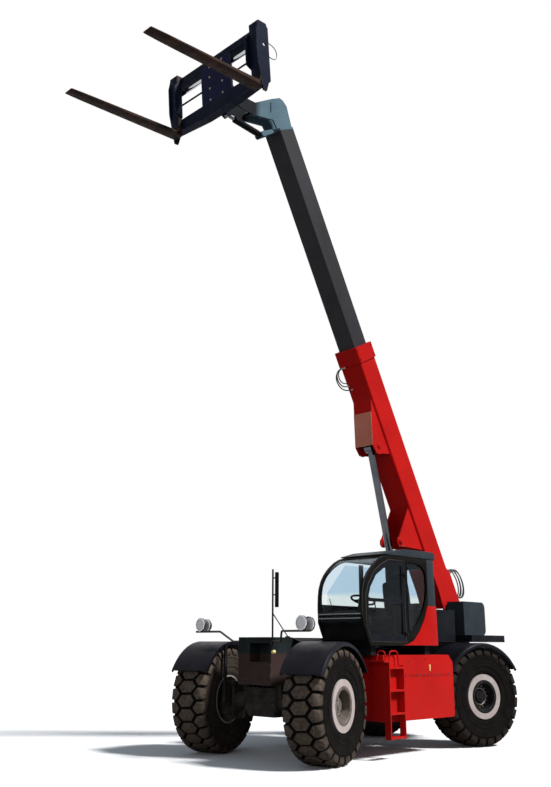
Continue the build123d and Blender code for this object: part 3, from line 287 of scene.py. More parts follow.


# Clear panes: reflection grows towards the rim of sight and is tinted pale blue through a noise, a painted sky
# reflection, and a tinted band starts at a height
def makeGlass(name, lowTint, highTint, bandFrom, bandTo):
    material, tree = newMaterial(name)
    link = tree.links.new
    out = newNode(tree, "OutputMaterial")
    clear = newNode(tree, "BsdfTransparent")
    gloss = newNode(tree, "BsdfGlossy")
    gloss.inputs["Roughness"].default_value = glassLook["roughness"]
    place = newNode(tree, "TexCoord")
    split = newNode(tree, "SeparateXYZ")
    link(place.outputs["Object"], split.inputs[0])
    tint = newNode(tree, "Mix", data_type="RGBA")
    tint.inputs[6].default_value = (*lowTint, 1.0)
    tint.inputs[7].default_value = (*highTint, 1.0)
    link(fit(tree, split.outputs["Z"], bandFrom, bandTo), tint.inputs["Factor"])
    link(tint.outputs[2], clear.inputs["Color"])
    # the reflection colour is a noise mix of two pale blues, a painted sky reflection
    glossTintNoise = newNode(tree, "TexNoise")
    glossTintNoise.inputs["Scale"].default_value = glassLook["glossTintScale"]
    link(place.outputs["Object"], glossTintNoise.inputs["Vector"])
    shade = newNode(tree, "Mix", data_type="RGBA")
    for socket, colour in zip((shade.inputs[6], shade.inputs[7]), glassLook["paintedSkyGlossColours"]):
        socket.default_value = (*colour, 1.0)
    link(glossTintNoise.outputs["Fac"], shade.inputs["Factor"])
    link(shade.outputs[2], gloss.inputs["Color"])
    facing = newNode(tree, "LayerWeight")
    steep = newNode(tree, "Math", operation="POWER")
    steep.inputs[1].default_value = glassLook["steepness"]
    link(facing.outputs["Facing"], steep.inputs[0])
    lift = newNode(tree, "Math", operation="MULTIPLY_ADD")
    lift.inputs[1].default_value = glassLook["edgeGloss"]
    lift.inputs[2].default_value = glassLook["leastGloss"]
    link(steep.outputs[0], lift.inputs[0])
    mix = newNode(tree, "MixShader")
    link(lift.outputs[0], mix.inputs[0])
    link(clear.outputs[0], mix.inputs[1])
    link(gloss.outputs[0], mix.inputs[2])
    link(mix.outputs[0], out.inputs[0])
    return material


rubberLook = {"clodScale": 22.0, "dustColour": (0.155, 0.120, 0.095), "leastDust": 0.45}


# Rubber: the blocks' dust follows the treadDust attribute
def makeRubber():
    material = makeSurface(
        "tyreRubber", (0.004, 0.004, 0.004), (0.009, 0.008, 0.008), roughness=0.85, spread=0.08, blotch=6.0,
        grain=160.0, depth=0.0012)
    tree = material.node_tree
    link = tree.links.new
    shader = next(n for n in tree.nodes if n.type == "BSDF_PRINCIPLED")
    base = shader.inputs["Base Color"].links[0].from_socket
    mask = newNode(tree, "Attribute", attribute_name="treadDust")
    clod = newNode(tree, "TexNoise")
    clod.inputs["Scale"].default_value = rubberLook["clodScale"]
    clod.inputs["Detail"].default_value = 6.0
    place = next(n for n in tree.nodes if n.type == "TEX_COORD")
    link(place.outputs["Object"], clod.inputs["Vector"])
    amount = newNode(tree, "Math", operation="MULTIPLY")
    link(mask.outputs["Fac"], amount.inputs[0])
    link(fit(tree, clod.outputs["Fac"], 0.3, 0.62, rubberLook["leastDust"]), amount.inputs[1])
    mix = newNode(tree, "Mix", data_type="RGBA")
    mix.inputs[7].default_value = (*rubberLook["dustColour"], 1.0)
    link(amount.outputs[0], mix.inputs["Factor"])
    link(base, mix.inputs[6])
    link(mix.outputs[2], shader.inputs["Base Color"])
    return material


axleX = 0.8225  # the front axle; side outlines count their x from it
boomPivot = Vector(next(j["pos_m"] for j in frame["joints"] if j["name"] == "boom_lift"))
boomAlong = Vector(next(j["axis"] for j in frame["joints"] if j["name"] == "boom_extend"))
tiltPoint = Vector(next(j["pos_m"] for j in frame["joints"] if j["name"] == "carriage_tilt"))
wheels = {j["child"][6:]: (Vector(j["pos_m"]), Vector(j["axis"])) for j in frame["joints"]
          if j["name"].startswith("wheel_")}
lean = math.radians(5.0)  # of the carriage, forwards and down


# Places: local x forwards, local y to the left, local z up the piece that carries it
def placeOf(origin, along):
    across = Vector((0, 1, 0))
    return Matrix.Translation(origin) @ Matrix((along, across, along.cross(across))).transposed().to_4x4()


sidePlace = placeOf(Vector((axleX, 0, 0)), Vector((1, 0, 0)))
boomPlace = placeOf(boomPivot, boomAlong)
carriagePlace = placeOf(tiltPoint, Vector((math.cos(lean), 0, -math.sin(lean))))

red = (0.56, 0.010, 0.008)
slate = (0.036, 0.046, 0.054)
surfaces = {
    "tyre": makeRubber(),
    "rim_paint": makeSurface(
        "rimPaint", (0.56, 0.49, 0.465), (0.47, 0.40, 0.38), roughness=0.42, blotch=7.0, dust=0.35,
        dustTop=1.3, dustColour=(0.30, 0.24, 0.21), wearAndHighlight=0.5, wearAndHighlightColour=(0.25, 0.2, 0.18)),
    # fender plastic: the bluish band at the top, from Z 1.90 to 2.03, is a painted sky sheen
    "fender_plastic": makeSurface(
        "fenderPlastic", (0.006, 0.006, 0.009), (0.010, 0.010, 0.015), roughness=0.34, spread=0.08,
        grain=220.0, depth=0.0005, dust=0.03, specular=0.05,
        region=("Z", 1.90, 2.03, (0.018, 0.022, 0.055))),
    "axle_paint": makeSurface(
        "axlePaint", (0.006, 0.006, 0.006), (0.013, 0.012, 0.012), roughness=0.6, dust=0.35, wearAndHighlight=0.5,
        wearAndHighlightColour=(0.12, 0.11, 0.11), grain=60.0, depth=0.0015),
    "red_paint": makeSurface(
        "redPaint", red, (0.47, 0.008, 0.007), roughness=0.38, spread=0.07, blotch=1.3, grain=240.0,
        depth=0.0002, dust=0.08, dustColour=(0.36, 0.10, 0.07), wearAndHighlight=0.25, wearAndHighlightColour=(0.70, 0.12, 0.09),
        specular=0.04),
    "cab_paint": makeSurface(
        "cabPaint", (0.007, 0.007, 0.007), (0.012, 0.011, 0.010), roughness=0.38, dust=0.06, wearAndHighlight=0.5,
        wearAndHighlightColour=(0.13, 0.12, 0.11), grain=200.0, depth=0.0003,
        region=("X", axleX - 2.36, axleX - 2.38, slate)),
    "slate_paint": makeSurface(
        "slatePaint", slate, (0.027, 0.035, 0.042), roughness=0.42, dust=0.05, wearAndHighlight=0.3,
        wearAndHighlightColour=(0.2, 0.22, 0.24), grain=200.0, depth=0.0003),
    "boom_paint": makeSurface(
        "boomPaint", (0.022, 0.020, 0.025), (0.014, 0.013, 0.016), roughness=0.5, blotch=1.6, wearAndHighlight=0.6,
        wearAndHighlightColour=(0.12, 0.11, 0.12), grain=150.0, depth=0.0005, specular=0.12),
    # head paint: past a given X the forward arm turns near black, a painted shade for its unlit front faces
    "head_paint": makeSurface(
        "headPaint", (0.13, 0.20, 0.245), (0.100, 0.165, 0.205), roughness=0.45, wearAndHighlight=0.5,
        wearAndHighlightColour=(0.3, 0.38, 0.42), grain=180.0, depth=0.0004,
        region=("X", axleX + 0.42, axleX + 0.56, (0.016, 0.018, 0.022))),
    "fork_steel": makeSurface(
        "forkSteel", (0.017, 0.015, 0.013), (0.050, 0.026, 0.020), roughness=0.55, spread=0.15,
        metallic=0.2, blotch=3.2, wearAndHighlight=0.7, wearAndHighlightColour=(0.16, 0.14, 0.13), grain=70.0, depth=0.001),
    "cab_glass": makeGlass("cabGlass", (0.90, 0.93, 0.93), (0.80, 0.873, 0.918), 2.40, 2.44),
    "seat_fabric": makeSurface(
        "seatFabric", (0.009, 0.010, 0.011), (0.016, 0.017, 0.019), roughness=0.9, grain=900.0,
        depth=0.001),
    "chrome_rod": makeSurface(
        "chromeRod", (0.085, 0.088, 0.098), (0.060, 0.063, 0.072), roughness=0.14, spread=0.05,
        metallic=1.0, grain=400.0, depth=0.00005),
    "black_plastic": makeSurface(
        "blackPlastic", (0.006, 0.006, 0.0065), (0.011, 0.011, 0.012), roughness=0.5, grain=350.0,
        depth=0.0004),
    "cast_block": makeSurface(
        "castBlock", (0.09, 0.09, 0.09), (0.06, 0.06, 0.062), roughness=0.8, grain=60.0, depth=0.002),
    "dark_paint": makeSurface(
        "darkPaint", (0.008, 0.009, 0.012), (0.014, 0.015, 0.019), roughness=0.5, dust=0.18, wearAndHighlight=0.5,
        wearAndHighlightColour=(0.12, 0.12, 0.14), grain=120.0, depth=0.0006),
}
hubBrown = makeSurface(
    "hubBrown", (0.13, 0.105, 0.090), (0.20, 0.165, 0.145), roughness=0.7, blotch=14.0, wearAndHighlight=0.5,
    wearAndHighlightColour=(0.3, 0.26, 0.24), grain=90.0, depth=0.0012)
hubDark = makeSurface(
    "hubDark", (0.012, 0.012, 0.013), (0.026, 0.024, 0.024), roughness=0.6, blotch=14.0, wearAndHighlight=0.5,
    wearAndHighlightColour=(0.12, 0.11, 0.11), grain=90.0, depth=0.0012)
boltSteel = makeSurface(
    "boltSteel", (0.34, 0.30, 0.27), (0.22, 0.18, 0.16), roughness=0.45, metallic=0.7, blotch=30.0)
blackSeal = makeSurface(
    "blackSeal", (0.006, 0.006, 0.006), (0.010, 0.010, 0.010), roughness=0.7, grain=500.0)
frameTrim = makeSurface(
    "frameTrim", (0.065, 0.062, 0.056), (0.035, 0.033, 0.030), roughness=0.4, grain=300.0)
hoseRubber = makeSurface(
    "hoseRubber", (0.007, 0.007, 0.007), (0.014, 0.014, 0.014), roughness=0.25, blotch=40.0, grain=600.0,
    depth=0.0003, specular=0.5)
# carriage and centre plate paints: the pale edge colour is a painted highlight along their edges
carriagePaint = makeSurface(
    "carriagePaint", (0.008, 0.011, 0.027), (0.012, 0.017, 0.034), roughness=0.42, wearAndHighlight=0.8,
    wearAndHighlightColour=(0.20, 0.20, 0.26), grain=130.0, depth=0.0006)
platePaint = makeSurface(
    "platePaint", (0.011, 0.013, 0.045), (0.016, 0.019, 0.060), roughness=0.4, wearAndHighlight=0.8,
    wearAndHighlightColour=(0.24, 0.24, 0.30), grain=130.0, depth=0.0005)
nosePaint = makeSurface(
    "nosePaint", (0.022, 0.028, 0.030), (0.013, 0.015, 0.016), roughness=0.5, dust=0.15, wearAndHighlight=0.6,
    wearAndHighlightColour=(0.16, 0.17, 0.18), grain=110.0, depth=0.0008,
    region=("Z", 1.53, 1.50, (0.055, 0.034, 0.031)))
lampSteel = makeSurface(
    "lampSteel", (0.085, 0.075, 0.072), (0.055, 0.048, 0.046), roughness=0.4, metallic=0.4)
lampLens = makeSurface(
    "lampLens", (0.86, 0.87, 0.88), (0.97, 0.97, 0.98), roughness=0.08, spread=0.03, blotch=60.0,
    grain=60.0, depth=0.004, coat=1.0)
chromeRing = makeSurface("chromeRing", (0.55, 0.55, 0.57), (0.45, 0.45, 0.47), roughness=0.2, metallic=1.0)
amberLens = makeSurface("amberLens", (0.80, 0.60, 0.12), (0.95, 0.80, 0.30), roughness=0.2, coat=0.6)
paleBar = makeSurface("paleBar", (0.30, 0.31, 0.31), (0.22, 0.23, 0.23), roughness=0.4, metallic=0.5)
columnPlastic = makeSurface("columnPlastic", (0.055, 0.048, 0.032), (0.035, 0.032, 0.024), roughness=0.5)
# painted light: a brighter, more orange red than the red paint, so the downward-facing bracket cover looks lit;
# its pale edges are painted highlights
paintedLightRed = makeSurface(
    "paintedLightRed", (0.60, 0.19, 0.12), (0.50, 0.14, 0.09), roughness=0.45, blotch=2.0, wearAndHighlight=0.6,
    wearAndHighlightColour=(0.8, 0.5, 0.4), grain=200.0, depth=0.0003, specular=0.3)

slotOf = {row["node"]: row["material_slot"] for row in frame["record"]["subparts"]}
special = {"carriage": carriagePaint, "front_block": nosePaint, "work_lamps": lampSteel,
           "steering_column": columnPlastic}
for name, node in nodes.items():
    node.data.materials.clear()
    node.data.materials.append(special.get(name, surfaces[slotOf[name]]))
print("surfaces assigned")


def own(slot):
    return surfaces[slot], slot


def finishPiece(name, bm, body, material, slot, sharp=35.0):
    bmesh.ops.recalc_face_normals(bm, faces=bm.faces)
    mesh = bpy.data.meshes.new(name)
    bm.to_mesh(mesh)
    bm.free()
    for face in mesh.polygons:
        face.use_smooth = True
    mesh.set_sharp_from_angle(angle=math.radians(sharp))
    piece = addObject(name, mesh)
    mesh.materials.append(material)
    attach(piece, body)
    return piece


def bevelBy(bm, geom, offset, segments=2, affect="EDGES"):
    bmesh.ops.bevel(bm, geom=geom, offset=offset, offset_type="OFFSET", segments=segments, profile=0.5,
                    affect=affect, material=-1, clamp_overlap=True)


def cutAt(bm, station):
    bmesh.ops.bisect_plane(bm, geom=bm.verts[:] + bm.edges[:] + bm.faces[:], plane_co=(station, 0, 0),
                           plane_no=(1, 0, 0))


def facingOut(spot, side=1):
    return Matrix.Translation(spot) @ Matrix.Rotation(math.radians(90 * side), 4, "Z")


# Outline in the local side plane, carried from one local y to another, with bevelled rims
def addPlate(bm, points, low, high, edge=0.004):
    ring = [bm.verts.new((x, low, z)) for x, z in points]
    loop = [bm.edges.new(pair) for pair in zip(ring, ring[1:] + ring[:1])]
    face = bmesh.ops.contextual_create(bm, geom=loop)["faces"][0]
    grown = bmesh.ops.extrude_face_region(bm, geom=[face])
    far = [v for v in grown["geom"] if isinstance(v, bmesh.types.BMVert)]
    bmesh.ops.translate(bm, verts=far, vec=(0, high - low, 0))
    near = list(face.verts)
    rims = [e for group in (far, near) for v in group for e in v.link_edges
            if e.verts[0] in group and e.verts[1] in group]
    if edge:
        bevelBy(bm, list(set(rims)), edge)


def platePiece(name, place, parts, body, material, slot, edge=0.004):
    bm = bmesh.new()
    for points, low, high in parts:
        addPlate(bm, points, low, high, edge)
    bm.transform(place)
    return finishPiece(name, bm, body, material, slot, sharp=30.0)


def addBolt(bm, spot, axis, radius, height, sides=6):
    turn = axis.to_track_quat("Z", "Y").to_matrix().to_4x4()
    bmesh.ops.create_cone(bm, cap_ends=True, segments=sides, radius1=radius, radius2=radius * 0.92,
                          depth=height, matrix=Matrix.Translation(spot + axis * height / 2) @ turn)


def boltPiece(name, place, spots, axis, radius, height, body, material, slot):
    bm = bmesh.new()
    for spot in spots:
        addBolt(bm, Vector(spot), Vector(axis), radius * 1.7, height * 0.25, 20)
        addBolt(bm, Vector(spot) + Vector(axis) * height * 0.25, Vector(axis), radius, height * 0.75)
    bm.transform(place)
    return finishPiece(name, bm, body, material, slot)


# Turned form: a profile of stations and radii swept round local x
def addTurned(bm, line, steps=48, place=None):
    known = set(bm.verts)
    ring = [bm.verts.new((across, 0.0, radius)) for across, radius in line]
    edges = [bm.edges.new(pair) for pair in zip(ring, ring[1:])]
    bmesh.ops.spin(bm, geom=ring + edges, axis=(1, 0, 0), cent=(0, 0, 0), steps=steps, angle=2 * math.pi,
                   use_merge=True)
    fresh = [v for v in bm.verts if v not in known]
    bmesh.ops.remove_doubles(bm, verts=fresh, dist=0.0003)
    fresh = [v for v in bm.verts if v not in known]
    if place:
        bmesh.ops.transform(bm, matrix=place, verts=fresh)


def tubePiece(name, points, radius, body, material, closed=False, smooth=True):
    curve = bpy.data.curves.new(name, "CURVE")
    curve.dimensions = "3D"
    spline = curve.splines.new("NURBS" if smooth else "POLY")
    spline.points.add(len(points) - 1)
    for point, spot in zip(spline.points, points):
        point.co = (*spot, 1.0)
    if smooth:
        spline.order_u = 3
        spline.use_endpoint_u = not closed
    spline.use_cyclic_u = closed
    spline.resolution_u = 6
    curve.bevel_depth = radius
    curve.bevel_resolution = 3
    curve.use_fill_caps = not closed
    piece = addObject(name, curve)
    curve.materials.append(material)
    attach(piece, body)
    return piece


def atSide(points, y):
    return [(axleX + x, y, z) for x, z in points]


def atPlace(place, points):
    return [tuple(place @ Vector(point)) for point in points]


# Hoses: each a free run between two fittings, in the local axes of what carries it
heelHoses = {"diameter": 0.024, "firstY": 0.205, "pitch": 0.034, "rises": (0.0, 0.04, 0.01, 0.05, 0.02)}


def heelRoute(y, rise):
    line = [(0.64 + rise / 2, 0.43), (0.64 + rise / 2, 0.60), (0.57 + rise / 2, 0.76 + rise),
            (0.36, 0.83 + rise), (0.14, 0.79 + rise), (0.04 - rise / 3, 0.66), (0.12, 0.53), (0.23, 0.445)]
    return [(round(s, 3), y, round(n, 3)) for s, n in line]


hoses = {}
for i, rise in enumerate(heelHoses["rises"]):
    y = round(heelHoses["firstY"] - heelHoses["pitch"] * i, 3)
    hoses["heelHose_%d" % i] = (boomPlace, "boom_outer", heelHoses["diameter"], heelRoute(y, rise))
hoses.update({
    "collarHose_0": (boomPlace, "boom_outer", 0.024,
                     [(5.12, -0.15, -0.098), (5.13, -0.27, -0.105), (5.02, -0.36, -0.115),
                      (4.86, -0.36, -0.115), (4.76, -0.27, -0.105), (4.77, -0.15, -0.098)]),
    "collarHose_1": (boomPlace, "boom_outer", 0.024,
                     [(5.12, -0.1, -0.098), (5.13, -0.25, -0.11), (5.0, -0.39, -0.125), (4.8, -0.38, -0.125),
                      (4.68, -0.25, -0.11), (4.69, -0.1, -0.098)]),
    "collarHose_2": (boomPlace, "boom_outer", 0.021,
                     [(5.12, -0.19, -0.098), (5.11, -0.26, -0.105), (5.02, -0.32, -0.11),
                      (4.91, -0.32, -0.11), (4.83, -0.26, -0.105), (4.83, -0.19, -0.098)]),
    "carriageHose": (carriagePlace, "carriage", 0.015,
                     [(0.13, 1.10, 0.495), (0.03, 1.10, 0.505), (-0.12, 1.10, 0.47), (-0.17, 1.10, 0.36),
                      (-0.12, 1.10, 0.24), (0.03, 1.10, 0.235), (0.15, 1.10, 0.26)]),
})
for name, (place, body, diameter, route) in hoses.items():
    points = atPlace(place, route)
    hose = tubePiece(name, points, diameter / 2, body, hoseRubber)
    fittings = bmesh.new()
    for end, inner in ((points[0], points[1]), (points[-1], points[-2])):
        out = (Vector(inner) - Vector(end)).normalized()
        addBolt(fittings, Vector(end), out, diameter * 0.75, diameter * 1.6)
    collar = finishPiece(name + "_fittings", fittings, body, boltSteel, "chrome_rod")
print("hoses made")


# Tyres: a turned carcass with ribbed walls, and hexagonal blocks laid along its profile
tyreLook = {
    "pitches": 24,
    "steps": 120,
    "treadRadius": 0.79,
    "outerRadius": 0.81,
    "lugHeight": 0.0405,
    "lugEdge": 0.009,
    "groove": 0.034,
    "centreHalf": 0.080,
    "tipReach": 0.070,
    "lean": 0.06,
    "grooveDust": 0.03,
    "innerWallDust": 0.40,
    "rearDust": 0.35,
}
carcass = [(0.0, 0.772), (0.13, 0.772), (0.215, 0.769), (0.255, 0.757), (0.279, 0.727), (0.292, 0.672),
           (0.294, 0.655), (0.300, 0.650), (0.300, 0.636), (0.295, 0.630), (0.297, 0.560), (0.294, 0.520),
           (0.299, 0.512), (0.298, 0.498), (0.290, 0.490), (0.285, 0.440), (0.288, 0.428), (0.284, 0.414),
           (0.276, 0.398), (0.268, 0.372)]


def alongCarcass(distance):
    left = abs(distance)
    for start, end in zip(carcass, carcass[1:]):
        run = math.dist(start, end)
        if left <= run or end == carcass[-1]:
            share = min(left / run, 1.0)
            across = start[0] + (end[0] - start[0]) * share
            radius = start[1] + (end[1] - start[1]) * share
            normal = Vector((start[1] - end[1], end[0] - start[0])).normalized()
            return across, radius, normal
        left -= run


def makeBlock(points, height, stations):
    bm = bmesh.new()
    face = bmesh.ops.contextual_create(bm, geom=[bm.verts.new((x, y, 0)) for x, y in points])["faces"][0]
    grown = bmesh.ops.extrude_face_region(bm, geom=[face])
    top = [v for v in grown["geom"] if isinstance(v, bmesh.types.BMVert)]
    bmesh.ops.translate(bm, verts=top, vec=(0, 0, height))
    bmesh.ops.recalc_face_normals(bm, faces=bm.faces)
    rim = [e for e in bm.edges if all(v in top for v in e.verts)]
    posts = [e for e in bm.edges if abs(e.verts[0].co.z - e.verts[1].co.z) > height * 0.5]
    bevelBy(bm, rim + posts, tyreLook["lugEdge"])
    for station in stations:
        cutAt(bm, station)
    mesh = bpy.data.meshes.new("block")
    bm.to_mesh(mesh)
    bm.free()
    return mesh


def wheelFrame(corner):
    centre, outward = wheels[corner]
    along = outward.cross(Vector((0, 0, 1)))
    return Matrix.Translation(centre) @ Matrix((outward, along, Vector((0, 0, 1)))).transposed().to_4x4()


def makeTyre(corner):
    look = tyreLook
    bm = bmesh.new()
    dust = bm.verts.layers.float.new("treadDust")
    half = [(-across, radius) for across, radius in reversed(carcass[1:])] + carcass
    addTurned(bm, half, look["steps"])
    for vert in bm.verts:
        radius = math.hypot(vert.co.y, vert.co.z)
        vert[dust] = look["grooveDust"] if vert.co.x > 0.2 or radius > 0.74 else look["innerWallDust"]
    long = math.pi * look["treadRadius"] / look["pitches"] - look["groove"] / 2
    centreHalf, tipReach = look["centreHalf"], look["tipReach"]
    centre = [(-centreHalf - tipReach, 0), (-centreHalf, -long), (centreHalf, -long),
              (centreHalf + tipReach, 0), (centreHalf, long), (-centreHalf, long)]
    inner = centreHalf + look["groove"] * 1.3
    shoulder = [(inner, 0), (inner + tipReach, -long), (0.335, -long * 0.86), (0.352, -long * 0.6),
                (0.352, long * 0.6), (0.335, long * 0.86), (inner + tipReach, long)]
    centreBlock = makeBlock(centre, look["lugHeight"], (-0.1, 0.0, 0.1))
    shoulderBlock = makeBlock(shoulder, look["lugHeight"], (0.17, 0.215, 0.24, 0.262, 0.285, 0.31, 0.33))
    share = look["rearDust"] if corner.startswith("rear") else 1.0
    for template, side, shift in ((centreBlock, 1, 0.0), (shoulderBlock, 1, 0.5), (shoulderBlock, -1, 0.5)):
        for pitch in range(look["pitches"]):
            first = len(bm.verts)
            bm.from_mesh(template)
            bm.verts.ensure_lookup_table()
            for vert in bm.verts[first:]:
                y, x, z = vert.co
                across, radius, normal = alongCarcass(y)
                low = min(1.0, max(0.0, (abs(y) - 0.25) / 0.1))
                height = z * (1.0 - 0.70 * low) - 0.002
                sideways = math.copysign(1, y) * side
                angle = x / look["treadRadius"] + y * side * look["lean"]
                angle += (pitch + shift) * 2 * math.pi / look["pitches"]
                reach = min(radius + normal.y * height, look["outerRadius"])
                vert.co = ((across + normal.x * height) * sideways, -math.sin(angle) * reach,
                           math.cos(angle) * reach)
                worn = min(max(z / look["lugHeight"], 0.0), 1.0)
                vert[dust] = worn * worn * (1.0 - 0.75 * low) * share
    for template in (centreBlock, shoulderBlock):
        bpy.data.meshes.remove(template)
    bm.transform(wheelFrame(corner))
    piece = finishPiece("tyreTread_" + corner, bm, "wheel_" + corner, *own("tyre"), sharp=32.0)
    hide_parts("tyre_" + corner)


for corner in wheels:
    makeTyre(corner)
print("tyres made")


# Hubs: dished lining of the recess in dark paint, a painted shade over the recess walls, planetary cover with its
# bolts, dark band on the ring's inner edge as painted shade at the recess edge, wheel nuts
hubLook = {
    "coverFace": 0.200,
    "coverBolts": 10,
    "coverBoltCircle": 0.080,
    "coverBoltRadius": 0.0085,
    "nuts": 16,
    "nutCircle": 0.178,
    "nutRadius": 0.015,
    "studRadius": 0.009,
}
recessShadeLine = [(0.2852, 0.229), (0.288, 0.224), (0.280, 0.216), (0.150, 0.204), (0.134, 0.196),
              (0.132, 0.120), (0.128, 0.110)]
shadeBandLine = [(0.2855, 0.226), (0.2875, 0.229), (0.2875, 0.268), (0.2855, 0.272)]


def makeHub(corner):
    look = hubLook
    paint = hubBrown if corner.startswith("front") else hubDark
    bm = bmesh.new()
    # recess lining: a dark sheet over the rim's recess walls, painted shade
    addTurned(bm, recessShadeLine)
    face, circle = look["coverFace"], look["coverBoltCircle"]
    addTurned(bm, [(0.131, 0.128), (face - 0.030, 0.122), (face - 0.008, 0.108), (face, 0.098),
                   (face, 0.062), (face + 0.010, 0.055), (face + 0.012, 0.0)])
    out = Vector((1, 0, 0))
    for i in range(look["coverBolts"]):
        angle = 2 * math.pi * i / look["coverBolts"]
        spot = Vector((face - 0.001, circle * math.cos(angle), circle * math.sin(angle)))
        addBolt(bm, spot, out, look["coverBoltRadius"], 0.008)
    bm.transform(wheelFrame(corner))
    finishPiece("hubCoverAndRecessShade_" + corner, bm, "wheel_" + corner, paint, "axle_paint")
    # dark band on the ring's inner edge, painted shade at the recess edge
    bm = bmesh.new()
    addTurned(bm, shadeBandLine, 72)
    bm.transform(wheelFrame(corner))
    finishPiece("rimShadeBand_" + corner, bm, "wheel_" + corner, paint, "axle_paint")
    bm = bmesh.new()
    for i in range(look["nuts"]):
        angle = 2 * math.pi * i / look["nuts"]
        spot = Vector((0.132, look["nutCircle"] * math.cos(angle), look["nutCircle"] * math.sin(angle)))
        addBolt(bm, spot - out * 0.002, out, look["nutRadius"], 0.022)
        addBolt(bm, spot + out * 0.018, out, look["studRadius"], 0.014, 12)
    bm.transform(wheelFrame(corner))
    finishPiece("wheelNuts_" + corner, bm, "wheel_" + corner, boltSteel, "axle_paint")


for corner in wheels:
    makeHub(corner)
print("hubs made")


# Flat sheet with holes, from closed outlines filled as a curve
def outlineMesh(name, outlines, thickness, bevel):
    curve = bpy.data.curves.new(name, "CURVE")
    curve.dimensions = "2D"
    curve.fill_mode = "BOTH"
    for points in outlines:
        spline = curve.splines.new("POLY")
        spline.points.add(len(points) - 1)
        for point, spot in zip(spline.points, points):
            point.co = (*spot, 0.0, 1.0)
        spline.use_cyclic_u = True
    curve.extrude = thickness / 2 - bevel
    curve.bevel_depth = bevel
    curve.bevel_resolution = 1
    curve.offset = -bevel
    drawn = addObject(name, curve)
    mesh = bpy.data.meshes.new_from_object(drawn.evaluated_get(bpy.context.evaluated_depsgraph_get()))
    bpy.data.objects.remove(drawn)
    return mesh


def rounded(points, radius, steps=5):
    bm = bmesh.new()
    face = bmesh.ops.contextual_create(bm, geom=[bm.verts.new((x, z, 0)) for x, z in points])["faces"][0]
    bevelBy(bm, list(face.verts), radius, steps, "VERTICES")
    face = max(bm.faces, key=lambda f: f.calc_area())
    spots = [(v.co.x, v.co.y) for v in face.verts]
    bm.free()
    return spots


# Cab: side walls with their openings, red quarter panel, roof wedge, trims, guards and inner linings
cabLook = {
    "sideMiddles": {"left": 1.3377, "right": 0.4522},
    "sideThick": 0.0445,
    "sideBevel": 0.003,
    "hingeHeights": (1.83, 2.74),
    "guardBarHeights": (2.04, 2.105),
    "trimRadius": 0.009,
    "consoleEdge": 0.02,
    "leverY": {"right": 0.555, "left": 1.22},
}
arc = [(-0.68, 2.38), (-0.70, 2.505), (-0.745, 2.62), (-0.81, 2.72), (-0.88, 2.79), (-0.985, 2.88),
       (-1.09, 2.95), (-1.21, 3.005), (-1.33, 3.03)]
cabLine = [(-0.84, 1.64), (-0.68, 1.98)] + arc + [(-2.56, 3.03), (-2.60, 1.64)]
doorHole = [(-0.86, 1.69), (-0.745, 1.96), (-0.74, 2.37), (-0.80, 2.54), (-0.96, 2.76), (-1.15, 2.88),
            (-1.34, 2.96), (-1.74, 2.96), (-1.74, 1.69)]
quarterHole = [(-1.81, 1.83), (-1.81, 2.94), (-2.18, 2.94), (-2.34, 2.80), (-2.34, 2.50), (-2.26, 2.24),
               (-2.05, 1.99)]
rightHole = [(-0.90, 1.90), (-0.745, 2.03), (-0.735, 2.38), (-0.765, 2.55), (-0.86, 2.70), (-1.02, 2.83),
             (-1.20, 2.93), (-1.36, 2.965), (-2.44, 2.965), (-2.48, 1.90)]
bm = bmesh.new()
for y, holes in ((cabLook["sideMiddles"]["left"], [rounded(doorHole, 0.04), rounded(quarterHole, 0.05)]),
                 (cabLook["sideMiddles"]["right"], [rounded(rightHole, 0.05)])):
    known = set(bm.verts)
    side = outlineMesh("cabSide", [cabLine] + holes, cabLook["sideThick"], cabLook["sideBevel"])
    bm.from_mesh(side)
    bpy.data.meshes.remove(side)
    fresh = [v for v in bm.verts if v not in known]
    bmesh.ops.transform(bm, matrix=Matrix.Translation((0, y, 0)) @ Matrix.Rotation(math.radians(90), 4, "X"),
                        verts=fresh)
bmesh.ops.remove_doubles(bm, verts=bm.verts, dist=0.0002)
for z in cabLook["hingeHeights"]:
    bmesh.ops.create_cone(bm, cap_ends=True, segments=24, radius1=0.014, radius2=0.014, depth=0.03,
                          matrix=Matrix.Translation((-1.737, 1.38, z - 0.015)))
    lug = bmesh.ops.create_cube(bm, size=1.0)["verts"]
    bmesh.ops.scale(bm, vec=(0.055, 0.022, 0.03), verts=lug)
    bmesh.ops.translate(bm, vec=(-1.765, 1.370, z - 0.015), verts=lug)
bm.transform(sidePlace)
sides = finishPiece("cabSides", bm, "chassis", *own("cab_paint"), sharp=30.0)
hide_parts("cab_sides")
quarterPanel = [(-1.62, 1.645), (-1.76, 1.658), (-1.93, 1.72), (-2.10, 1.87), (-2.24, 2.06), (-2.335, 2.27),
                (-2.575, 2.27), (-2.593, 1.645)]
platePiece("quarterPanel", sidePlace, [(quarterPanel, 1.3605, 1.3725)], "chassis", *own("red_paint"))
roofLine = [(-1.285, 3.034), (-1.270, 3.046), (-1.60, 3.130), (-1.75, 3.152), (-2.45, 3.158), (-2.57, 3.150),
            (-2.60, 3.120), (-2.60, 3.034)]
roof = platePiece("roofVisor", sidePlace, [(roofLine, 0.41, 1.372)], "chassis", *own("slate_paint"),
                  edge=0.022)
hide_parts("cab_roof")
doorEdge = [(-0.858, 1.695), (-0.745, 1.960), (-0.740, 2.370), (-0.800, 2.540), (-0.960, 2.760),
            (-1.150, 2.880), (-1.340, 2.958), (-1.738, 2.958), (-1.738, 1.692)]
quarterSeal = [(-1.805, 1.86), (-1.805, 2.92), (-1.83, 2.945), (-2.17, 2.945), (-2.345, 2.80),
               (-2.345, 2.50), (-2.265, 2.24), (-2.055, 1.985), (-1.86, 1.83)]
